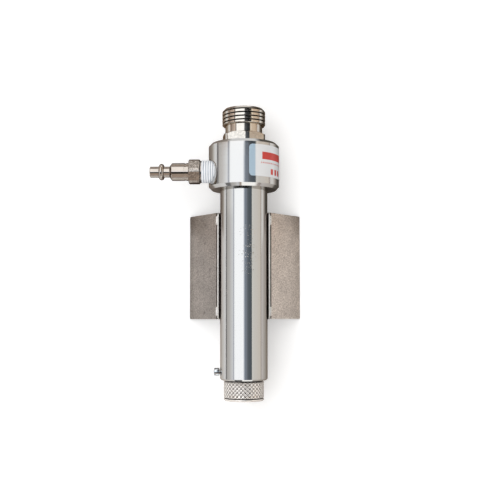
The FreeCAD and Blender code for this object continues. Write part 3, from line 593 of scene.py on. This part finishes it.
def smooth(piece, angle):
    """Smooth shading with sharp edges kept."""
    select_only(piece)
    bpy.ops.object.shade_smooth_by_angle(angle=math.radians(angle))


def dress(piece, material, body, node):
    """Give a piece its finish, the body that it rides on and the node that it replaces."""
    paint(piece, material)
    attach(piece, body)
    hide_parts(node)
    triangles = sum(len(face.vertices) - 2 for face in piece.data.polygons)
    print(piece.name, triangles, "triangles")


print("nodes to work from", len(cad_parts))

# %% [markdown]
# ## Cutting and spinning
# Two shapes come back: a piece that is cut with another, as a tool does, and a closed outline
# that is spun once round an axis into a ring.

# %% Cutting and spinning
def apply_all(piece):
    """Apply a piece's modifiers in order."""
    select_only(piece)
    for modifier in list(piece.modifiers):
        bpy.ops.object.modifier_apply(modifier=modifier.name)


def cut_with(piece, cutter):
    """Cut one closed mesh out of another and drop the cutter."""
    cutting = piece.modifiers.new("cut", "BOOLEAN")
    cutting.operation = "DIFFERENCE"
    cutting.solver = "EXACT"
    cutting.object = cutter
    apply_all(piece)
    bpy.data.objects.remove(cutter, do_unlink=True)


def spun_ring(name, outline, centre, axis, steps):
    """Spin a closed outline once round an axis into a closed ring."""
    deselect()
    bpy.ops.mesh.primitive_circle_add(vertices=len(outline), fill_type="NOTHING")
    piece = bpy.context.object
    piece.name = name
    for point, place in zip(piece.data.vertices, outline):
        point.co = place
    bpy.ops.object.mode_set(mode="EDIT")
    bpy.ops.mesh.select_all(action="SELECT")
    bpy.ops.mesh.spin(steps=steps, angle=math.radians(360), center=centre, axis=axis)
    bpy.ops.mesh.select_all(action="SELECT")
    bpy.ops.mesh.remove_doubles(threshold=MERGE)
    close_up()
    return piece


print("merged under", MERGE / MM, "mm")

# %% [markdown]
# ## Threaded cold outlet
# The fitting's thread is a right-handed groove of about 2.2 mm pitch. Its section is given
# from outside to the root, as the distance from the crest and the share of half the groove's
# width, and the other side mirrors it.

# %% Section of the groove
THREAD_PITCH = 2.2 * MM
THREAD_DEPTH = 0.8 * MM
THREAD_R = 13.0 * MM
THREAD_LENGTH = 10.2 * MM
THREAD_STEPS = 96
GROOVE_HALF = 0.40 * THREAD_PITCH / 2
GROOVE_SIDE = [(0.6 * MM, 1.55), (0.02 * MM, 1.1), (-0.12 * MM, 0.80), (-0.86 * THREAD_DEPTH, 0.30)]

upper_side = [(THREAD_R + past, GROOVE_HALF * share) for past, share in GROOVE_SIDE]
lower_side = [(radius, -rise) for radius, rise in reversed(upper_side)]
section = upper_side + [(THREAD_R - THREAD_DEPTH, 0.0)] + lower_side
turns = int(THREAD_LENGTH / THREAD_PITCH) + 2
start_y = -THREAD_LENGTH - 0.9 * THREAD_PITCH
print("turns of the cutter", turns)

# %% [markdown]
# ## Cutting the thread
# A screw modifier sweeps the section along a helix, and a boolean cuts that shape out of the
# plain fitting, as a tool does. The groove starts past the mouth and runs out in the
# neck. Weighted normals keep the crests evenly shaded.

# %% Cut the thread
deselect()
bpy.ops.mesh.primitive_circle_add(vertices=len(section), radius=THREAD_PITCH, fill_type="NGON")
cutter = bpy.context.object
for point, (radius, rise) in zip(cutter.data.vertices, section):
    point.co = (radius, start_y + rise, 0.0)
screw = cutter.modifiers.new("helix", "SCREW")
screw.axis = "Y"
screw.angle = math.radians(360 * turns)
screw.screw_offset = THREAD_PITCH * turns
screw.steps = THREAD_STEPS * turns
screw.render_steps = THREAD_STEPS * turns
screw.use_normal_calculate = True
apply_all(cutter)
bpy.ops.object.mode_set(mode="EDIT")
bpy.ops.mesh.select_mode(type="EDGE")
bpy.ops.mesh.select_all(action="SELECT")
bpy.ops.mesh.remove_doubles(threshold=MERGE)
bpy.ops.mesh.select_all(action="DESELECT")
bpy.ops.mesh.select_non_manifold()
bpy.ops.mesh.edge_face_add()
close_up()
fitting = working_copy("cold_outlet_fitting", "threaded_outlet")
cut_with(fitting, cutter)
smooth(fitting, 20)
even = fitting.modifiers.new("even_shading", "WEIGHTED_NORMAL")
even.keep_sharp = True
apply_all(fitting)
dress(fitting, nickel_brass, "housing", "cold_outlet_fitting")

# %% [markdown]
# ## Knurled knob
# A knurling tool presses two crossing sets of lines into the knob, which leaves small
# pointed diamonds. The real knurl is about twice as fine, and would not show here.

# %% Size of the knurl
KNURL_ROUND = 30
KNURL_ROWS = 4
KNURL_DEPTH = 0.22 * MM
KNURL_INSET = 0.23 * MM
SLEEVE_WALL = 0.6 * MM
KNOB_REACH = 11.6 * MM
KNOB_RIM = 1.3 * MM
KNOB_GROOVE = 0.5 * MM
KNOB_CHAMFER = 0.4 * MM
NEAR = 0.003 * MM

knurl_top = knob_low.y + KNOB_REACH - KNOB_CHAMFER
knurl_low = knob_low.y + KNOB_RIM + KNOB_GROOVE
middle_y = (knurl_top + knurl_low) / 2
valley_r = knob_r - KNURL_DEPTH
core_r = valley_r - SLEEVE_WALL
print("knurl", round((knurl_top - knurl_low) / MM, 2), "mm long")

# %% [markdown]
# ## Pressing the diamonds
# A tube of quads becomes diamonds when every face is poked and the old edges are dissolved,
# and an inset pushes each diamond out into a blunt pyramid.

# %% Press the diamonds
def select_edges(piece, wanted):
    """Select the edges whose two ends pass a test, and stay in edit mode."""
    bpy.ops.mesh.select_mode(type="EDGE")
    bpy.ops.mesh.select_all(action="DESELECT")
    bpy.ops.object.mode_set(mode="OBJECT")
    points = piece.data.vertices
    for edge in piece.data.edges:
        edge.select = wanted([points[i].co for i in edge.vertices])
    bpy.ops.object.mode_set(mode="EDIT")


def runs_along(ends):
    """Whether an edge runs along the knob."""
    return abs(ends[0].y - ends[1].y) > NEAR


def is_old(ends):
    """Whether an edge was there before the faces were poked, and isn't on a rim."""
    on_grid = all(math.hypot(end.x, end.z) > valley_r - NEAR for end in ends)
    on_rim = all(abs(end.y - middle_y) > (knurl_top - knurl_low) / 2 - NEAR for end in ends)
    return on_grid and not on_rim


deselect()
bpy.ops.mesh.primitive_cylinder_add(
    vertices=KNURL_ROUND, radius=valley_r, depth=knurl_top - knurl_low,
    end_fill_type="NOTHING", location=(0, middle_y, 0), rotation=(math.radians(90), 0, 0))
bpy.ops.object.transform_apply(location=True, rotation=True)
sleeve = bpy.context.object
sleeve.name = "knurl"
bpy.ops.object.mode_set(mode="EDIT")
select_edges(sleeve, runs_along)
bpy.ops.mesh.subdivide(number_cuts=KNURL_ROWS - 1)
bpy.ops.mesh.select_all(action="SELECT")
bpy.ops.mesh.poke()
select_edges(sleeve, is_old)
bpy.ops.mesh.dissolve_edges(use_verts=False)
bpy.ops.mesh.select_mode(type="FACE")
bpy.ops.object.mode_set(mode="OBJECT")
print("diamonds", sum(len(face.vertices) == 4 for face in sleeve.data.polygons))
bpy.ops.object.mode_set(mode="EDIT")
bpy.ops.mesh.select_all(action="SELECT")
bpy.ops.mesh.inset(thickness=KNURL_INSET, depth=KNURL_DEPTH, use_individual=True)

# %% [markdown]
# ## From skin to knob
# The knurled skin gets an inner wall, which makes it a closed sleeve. A plain ring cuts a
# band out of the knob, and the sleeve sits in that band as a part of the knob.

# %% Seat the sleeve in the knob
bpy.ops.mesh.select_mode(type="EDGE")
bpy.ops.mesh.select_all(action="DESELECT")
bpy.ops.mesh.select_non_manifold()
bpy.ops.mesh.extrude_edges_move()
bpy.ops.transform.resize(value=(core_r / valley_r, 1, core_r / valley_r),
                         center_override=(0, middle_y, 0))
bpy.ops.mesh.bridge_edge_loops()
close_up()
band = spun_ring("knob_band", [(core_r, knurl_low, 0), (core_r, knurl_top, 0),
                               (knob_r + MM, knurl_top, 0), (knob_r + MM, knurl_low, 0)],
                 (0, 0, 0), (0, 1, 0), KNURL_ROUND)
knob = working_copy("control_knob", "knurled_knob")
cut_with(knob, band)
select_only(knob)
sleeve.select_set(True)
bpy.ops.object.join()
smooth(knob, 20)
print("knob closed at", round(core_r / MM, 2), "mm")

# %% [markdown]
# ## Knurled aluminium
# The knob is aluminium that was pressed and not polished. Its colour is bright on the tips
# and dark between the diamonds, and a painted shadow makes a dark line where it meets the tube.

# %% Knurled aluminium
GAP_SHADOW_WIDTH = 0.85 * MM


def knurled_aluminium():
    """Aluminium pressed by a knurling tool, bright on the tips and dull in the grooves."""
    material, tree = blank("knurled_aluminium")
    at = round_axis(tree)
    sunk = add(tree, "MapRange", {0: at["radius"], 1: knob_r - 0.45 * KNURL_DEPTH,
                                  2: knob_r - 0.85 * KNURL_DEPTH})
    knurled = within(tree, at["along"], knurl_low - KNOB_GROOVE, knurl_top + NEAR)
    sunk = add(tree, "Math", {0: sunk, 1: knurled}, operation="MULTIPLY")
    # Painted shadow: a dark strip on the knob next to the tube's end, where the gap between them
    # is.
    gap_shadow = add(tree, "MapRange", {0: at["along"], 1: tube_low.y - GAP_SHADOW_WIDTH,
                                 2: tube_low.y - 0.8 * GAP_SHADOW_WIDTH})
    dark = add(tree, "Math", {0: sunk, 1: gap_shadow}, operation="MAXIMUM")
    colour = add(tree, "Mix", {0: dark, 6: linear("FBF6F1"), 7: linear("332E2B")},
                 data_type="RGBA")
    grit = add(tree, "TexNoise", {"Vector": at["place"], "Scale": 1 / (0.25 * MM), "Detail": 3.0,
                                  "Roughness": 0.7})
    blur = add(tree, "MapRange", {0: grit, 1: 0.3, 2: 0.7, 3: 0.14, 4: 0.26})
    relief = add(tree, "Bump", {"Height": grit, "Distance": 0.008 * MM})
    return surface(material, colour, blur, relief, metal=0.52, tint="E1DEDA")


dress(knob, knurled_aluminium(), "knob", "control_knob")

# %% [markdown]
# ## Sealing tape
# White tape is wound round the plug's tapered thread, and the thread's ridges press through
# it. The piece is a wavy line spun about the plug's axis into a closed sleeve. Two soft
# noises then push it in and out, for the wrinkles and the torn edge of the last turn.

# %% Wind the tape
TAPE_PITCH = 1.41 * MM
TAPE_WAVE = 0.24 * MM
TAPE_STEPS = 12
TAPE_ROUND = 96
TAPE_WALL = 0.33 * MM
TAPE_TAPER = 1 / 32
TAPE_NOISES = [("folds", 2.2 * MM, 0.14 * MM), ("wrinkles", 0.7 * MM, 0.07 * MM)]
tape_outer = (tape_high.z - tape_low.z) / 2


def tape_radius(x):
    """The outer radius of the tapered tape at a place along the plug."""
    return tape_outer - (x - tape_low.x) * TAPE_TAPER


waves = int(round((tape_high.x - tape_low.x) / TAPE_PITCH * TAPE_STEPS))
outline = []
for i in range(waves + 1):
    x = tape_low.x + (tape_high.x - tape_low.x) * i / waves
    crest = abs(math.sin(math.pi * (x - tape_low.x) / TAPE_PITCH)) ** 0.7
    outline.append((x, port_y, port_z + tape_radius(x) - TAPE_WAVE * (1 - crest)))
for x in (tape_high.x, tape_low.x):
    outline.append((x, port_y, port_z + tape_radius(x) - TAPE_WALL))
tape = spun_ring("wound_tape", outline, (0, port_y, port_z), (1, 0, 0), TAPE_ROUND)
outside = tape.vertex_groups.new(name="outside")
for point in tape.data.vertices:
    reach = math.hypot(point.co.y - port_y, point.co.z - port_z)
    if reach > tape_radius(point.co.x) - TAPE_WALL + 0.02 * MM:
        outside.add([point.index], 1.0, "REPLACE")
for label, grain, depth in TAPE_NOISES:
    cloud = bpy.data.textures.new("tape_" + label, "CLOUDS")
    cloud.noise_scale = grain
    cloud.noise_depth = 2
    ruffle = tape.modifiers.new(label, "DISPLACE")
    ruffle.texture = cloud
    ruffle.texture_coords = "LOCAL"
    ruffle.mid_level = 0.75
    ruffle.strength = depth
    ruffle.vertex_group = "outside"
apply_all(tape)
smooth(tape, 60)
print("tape", round((tape_high.x - tape_low.x) / MM, 1), "mm long")

# %% [markdown]
# ## Tape white
# The tape is a thin, waxy film that was pulled as it was wound, so it has fine fibres round
# the plug. It is white on the ridges, and painted shade makes it greyer where it sinks between
# them.

# %% Tape white
def tape_white():
    """Thin white sealing tape, waxy, with painted shade where it sinks into the thread."""
    material, tree = blank("ptfe_tape")
    at = round_axis(tree, "X", (port_y, port_z))
    turn_mm = add(tree, "Math", {0: at["angle"], 1: 3.0}, operation="MULTIPLY")
    along_mm = add(tree, "Math", {0: at["along"], 1: 1 / MM}, operation="MULTIPLY")
    pulled = add(tree, "CombineXYZ", {"X": turn_mm, "Y": along_mm})
    fibres = add(tree, "TexNoise", {"Vector": pulled, "Scale": 3.0, "Detail": 3.0})
    phase = add(tree, "Math", {0: at["along"], 1: math.pi / TAPE_PITCH,
                               2: -math.pi * tape_low.x / TAPE_PITCH}, operation="MULTIPLY_ADD")
    wave = add(tree, "Math", {0: phase}, operation="SINE")
    ridge = add(tree, "Math", {0: wave}, operation="ABSOLUTE")
    lifted = add(tree, "Math", {0: fibres, 1: 0.4, 2: ridge}, operation="MULTIPLY_ADD")
    # Painted shade: the colour turns grey in the valleys between the wound ridges.
    share = add(tree, "MapRange", {0: lifted, 1: 0.35, 2: 1.0})
    colour = add(tree, "Mix", {0: share, 6: linear("A6AEBB"), 7: linear("F4F6F9")},
                 data_type="RGBA")
    relief = add(tree, "Bump", {"Height": fibres, "Distance": 0.03 * MM})
    waxy = {"Subsurface Weight": 0.1, "Subsurface Radius": (0.4 * MM,) * 3}
    return surface(material, colour, 0.35, relief, more=waxy)


dress(tape, tape_white(), "housing", "thread_tape")

# %% [markdown]
# ## Printed label
# A thin glossy film is stuck round the head. Its front edge is pale blue, a painted reflection
# of the dark bluish flag, and the rest light grey. On it are a red bar, a row of small red
# dots and a few short red strokes, placed by the angle round the head in degrees and by
# millimetres from the label's edge. Dots and strokes are a field with a wave of their own pitch in
# it.

# %% Print the label
BLUE_REFLECTION_TURN = 20.0
RED_BAR = ((32.0, 84.0), (4.2, 8.6), 0.0, 0.0)
RED_DOTS = ((30.0, 86.0), (10.2, 11.0), 4.2, 0.1)
RED_STROKES = ((48.0, 78.0), (13.8, 17.2), 10.0, -0.3)
RED_FIELDS = [RED_BAR, RED_DOTS, RED_STROKES]


def label_film():
    """Glossy printed film with simple fields of colour."""
    material, tree = blank("label_film")
    at = round_axis(tree)
    degrees = add(tree, "Math", {0: at["angle"], 1: 180 / math.pi}, operation="MULTIPLY")
    drop_mm = add(tree, "Math", {0: at["along"], 1: -1 / MM, 2: label_high.y / MM},
                  operation="MULTIPLY_ADD")
    # The pale blue before this turn is a painted reflection of the dark flag, not print.
    past_painted_reflection = add(tree, "MapRange", {0: degrees, 1: BLUE_REFLECTION_TURN - 1, 2: BLUE_REFLECTION_TURN + 1})
    ground = add(tree, "Mix", {0: past_painted_reflection, 6: linear("B0C5D4"), 7: linear("E0E1E2")},
                 data_type="RGBA")
    red = 0.0
    for turn, drop, pitch, cut_off in RED_FIELDS:
        mask = add(tree, "Math", {0: within(tree, degrees, *turn),
                                  1: within(tree, drop_mm, *drop)}, operation="MULTIPLY")
        if pitch:
            phase = add(tree, "Math", {0: degrees, 1: 2 * math.pi / pitch}, operation="MULTIPLY")
            wave = add(tree, "Math", {0: phase}, operation="SINE")
            stripes = add(tree, "Math", {0: wave, 1: cut_off}, operation="GREATER_THAN")
            mask = add(tree, "Math", {0: mask, 1: stripes}, operation="MULTIPLY")
        red = add(tree, "Math", {0: mask, 1: red}, operation="MAXIMUM")
    colour = add(tree, "Mix", {0: red, 6: ground, 7: linear("C8433C")}, data_type="RGBA")
    ripple = add(tree, "TexNoise", {"Vector": at["place"], "Scale": 1 / (3 * MM), "Detail": 2.0})
    relief = add(tree, "Bump", {"Height": ripple, "Distance": 0.01 * MM})
    return surface(material, colour, 0.18, relief, metal=0.12)


paint(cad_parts["label"], label_film())
print("printed fields", len(RED_FIELDS))

# %% [markdown]
# ## Mill-finish sheet steel
# The two wings and the saddle are stainless sheet as it leaves the mill, bent and tacked
# together. Such sheet is dull and mottled, with rolling marks along it. The real mottle is
# finer than 0.85 mm, and is drawn at that size so that it shows. On the wings, painted shade
# darkens the seam along the saddle's lips. The left wing has a few dents, each painted darker
# in its middle as painted shade, a faint crease drawn only as a line of painted shade, and it
# grows darker towards its outer edge.

# %% Sheet steel
DENTS = [(-23.4, -69.5, -7.6), (-23.9, -80.6, -8.2), (-24.2, -123.0, -8.5), (-20.5, -97.0, -4.2)]
DENT_REACH = 1.6 * MM
CREASE_X = -24.9 * MM
SEAM_SHADE = (16.3 * MM, 16.75 * MM)
OUTER_EDGE = (31.0 * MM, 34.0 * MM)


def sheet_steel(name, dark, light, metal=1.0, shaded_seam=False, dents=()):
    """Mill-finish sheet, with painted shade in the seam of a wing, and dents in millimetres that
    get painted shade too.
    """
    material, tree = blank(name)
    place = add(tree, "TexCoord").outputs["Object"]
    long_way = add(tree, "Mapping", {"Vector": place, "Scale": (1.0, 0.3, 1.0)})
    mottle = add(tree, "TexNoise", {"Vector": place, "Scale": 1 / (0.85 * MM), "Detail": 5.0,
                                    "Roughness": 0.8})
    clouds = add(tree, "TexNoise", {"Vector": place, "Scale": 1 / (8 * MM), "Detail": 3.0})
    height = add(tree, "TexNoise", {"Vector": long_way, "Scale": 1 / (0.7 * MM), "Detail": 2.0})
    spots = add(tree, "MapRange", {0: mottle, 1: 0.38, 2: 0.62})
    tone = add(tree, "Mix", {0: spots, 6: linear(dark), 7: linear(light)}, data_type="RGBA")
    tone_and_painted_shade = [add(tree, "MapRange", {0: clouds, 1: 0.35, 2: 0.7, 3: 1.0, 4: 0.86})]
    for dent in dents:
        away = add(tree, "VectorMath", {0: place, 1: tuple(side * MM for side in dent)},
                   operation="DISTANCE")
        hollow = add(tree, "MapRange", {0: away, 1: 0.0, 2: DENT_REACH})
        height = add(tree, "Math", {0: hollow, 1: 3.0, 2: height}, operation="MULTIPLY_ADD")
        # Painted shade: each dent is darker in its middle.
        tone_and_painted_shade.append(add(tree, "MapRange", {0: away, 1: 0.5 * MM, 2: 1.2 * MM, 3: 0.66, 4: 1.0}))
    if shaded_seam:
        split = add(tree, "SeparateXYZ", {"Vector": place}).outputs
        outward = add(tree, "Math", {0: split["X"]}, operation="ABSOLUTE")
        # Painted shade in the seam along the saddle's lip.
        tone_and_painted_shade.append(add(tree, "MapRange", {0: outward, 1: SEAM_SHADE[0], 2: SEAM_SHADE[1], 3: 0.05, 4: 1.0}))
    if dents:
        # Painted shade for the crease, a dark line with no relief; then darker towards the outer
        # edge.
        off = add(tree, "Math", {0: split["X"], 1: CREASE_X}, operation="SUBTRACT")
        beside = add(tree, "Math", {0: off}, operation="ABSOLUTE")
        tone_and_painted_shade.append(add(tree, "MapRange", {0: beside, 1: 0.0, 2: 0.5 * MM, 3: 0.88, 4: 1.0}))
        tone_and_painted_shade.append(add(tree, "MapRange", {0: outward, 1: OUTER_EDGE[0], 2: OUTER_EDGE[1],
                                            3: 1.0, 4: 0.75}))
    for mark in tone_and_painted_shade:
        tone = add(tree, "VectorMath", {0: tone, 3: mark}, operation="SCALE")
    blur = add(tree, "MapRange", {0: mottle, 1: 0.3, 2: 0.7, 3: 0.32, 4: 0.46})
    relief = add(tree, "Bump", {"Height": height, "Distance": 0.02 * MM})
    relief = add(tree, "Bump", {"Height": mottle, "Distance": 0.05 * MM, "Normal": relief})
    return surface(material, tone, blur, relief, metal=metal)


dented_steel_painted_shade = sheet_steel("mill_finish_steel_dented_painted_shade", "968E89", "D4CDC7", shaded_seam=True,
                            dents=DENTS)
wing_steel = sheet_steel("mill_finish_steel_wing", "BAB2AD", "FDF7F2", shaded_seam=True)
clean_steel = sheet_steel("mill_finish_steel", "BAB2AD", "FDF7F2")
# Painted highlight for sheared edges: pale and only slightly metallic.
edge_highlight_steel = sheet_steel("sheared_edge_painted_highlight", "D9D5D0", "F2F0EC", metal=0.3)
print("dents", len(DENTS))

# %% [markdown]
# ## Sheet-steel bracket
# Each sheet is a working copy with its edges rounded, because a shear rolls an edge over a
# little, and a perfectly sharp edge never catches the light. The tops of the saddle's lips and
# the ends of the right wing are sheared edges that get a paler, less metallic finish: a painted
# highlight.

# %% Round the sheets
SHEAR_ROUND = 0.45 * MM
SMALL_ROUND = 0.15 * MM
LIP_LOW = 2.0 * MM


def rounded_copy(node, name, width):
    """A working copy with its edges rounded."""
    piece = working_copy(node, name)
    soft = piece.modifiers.new("soft_edge", "BEVEL")
    soft.width = width
    soft.segments = 2
    soft.limit_method = "ANGLE"
    soft.angle_limit = math.radians(30)
    apply_all(piece)
    smooth(piece, 40)
    return piece


for node, name, width, steel in (("left_wing", "left_wing_plate", SHEAR_ROUND, dented_steel_painted_shade),
                                 ("right_wing", "right_wing_plate", SHEAR_ROUND, wing_steel),
                                 ("tube_saddle", "saddle_sheet", SMALL_ROUND, clean_steel)):
    plate = rounded_copy(node, name, width)
    dress(plate, steel, "housing", node)
    plate.data.materials.append(edge_highlight_steel)
    sheared = 0
    for face in plate.data.polygons:
        # The lip tops and the right wing's ends take the painted highlight.
        on_lip = node == "tube_saddle" and face.normal.z > 0.6 and face.center.z > LIP_LOW
        on_end = node == "right_wing" and -0.9 < face.normal.y < -0.2
        if on_lip or on_end:
            face.material_index = 1
            sheared += 1
    print("sheared faces", sheared)

# %% [markdown]
# ## Welds, screws and the pieces inside
# The small pieces get the same care with less code: weld metal, zinc plated screws, brass,
# spring steel, rubber and felt. Most are out of sight, and each still has its finish.

# %% Small pieces
def plain_metal(name, colour, blur_level, grain=0.5 * MM, depth=0.01 * MM):
    """A metal with an even grain and rubbed edges."""
    material, tree = blank(name)
    place = add(tree, "TexCoord").outputs["Object"]
    noise = add(tree, "TexNoise", {"Vector": place, "Scale": 1 / grain, "Detail": 3.0})
    blur = add(tree, "MapRange", {0: noise, 1: 0.3, 2: 0.7, 3: blur_level * 0.75,
                                  4: blur_level * 1.3})
    rounded = add(tree, "Bevel", {"Radius": SMALL_ROUND}, samples=4)
    worn = (*(min(1.0, channel * 1.25) for channel in linear(colour)[:3]), 1.0)
    tone = rubbed(tree, rounded, linear(colour), worn)
    relief = add(tree, "Bump", {"Height": noise, "Distance": depth, "Normal": rounded})
    return surface(material, tone, blur, relief, metal=1.0)


def soft_matter(name, dark, light, blur_level, grain, depth):
    """Rubber, felt or the like, with an even grain."""
    material, tree = blank(name)
    place = add(tree, "TexCoord").outputs["Object"]
    noise = add(tree, "TexNoise", {"Vector": place, "Scale": 1 / grain, "Detail": 4.0})
    tone = add(tree, "Mix", {0: noise, 6: linear(dark), 7: linear(light)}, data_type="RGBA")
    relief = add(tree, "Bump", {"Height": noise, "Distance": depth})
    return surface(material, tone, blur_level, relief)


turned_brass = plain_metal("turned_brass", "C9A467", 0.25)
thin_steel = plain_metal("drawn_thin_steel", "B9B9BA", 0.3)
zinc_steel = plain_metal("zinc_plated_steel", "D5DCE2", 0.15)
spring_steel = plain_metal("phosphated_spring_steel", "4A4A4E", 0.45, grain=0.3 * MM)
weld_metal = plain_metal("weld_bead", "F2F0EC", 0.3, grain=0.8 * MM, depth=0.04 * MM)
nitrile = soft_matter("nitrile_rubber", "101010", "1E1E1E", 0.5, 0.4 * MM, 0.01 * MM)
felt = soft_matter("wool_felt", "8C857A", "B9B2A6", 0.95, 0.6 * MM, 0.08 * MM)
finishes = [
    (weld_metal, "tack_welds"), (zinc_steel, "saddle_screws"), (felt, "insulation_sleeve"),
    (thin_steel, "hot_tube", "swirl_breaker"), (spring_steel, "retaining_clip"),
    (turned_brass, "cold_orifice", "vortex_generator", "valve_seat", "valve_carrier",
     "valve_stem"),
    (nitrile, "outlet_seal", "orifice_seal", "hot_tube_seal", "friction_ring"),
]
for material, *inside in finishes:
    for node in inside:
        paint(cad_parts[node], material)
stop = rounded_copy("stop_screw", "stop_screw_head", SMALL_ROUND)
dress(stop, zinc_steel, "housing", "stop_screw")
print("finishes", len(finishes))
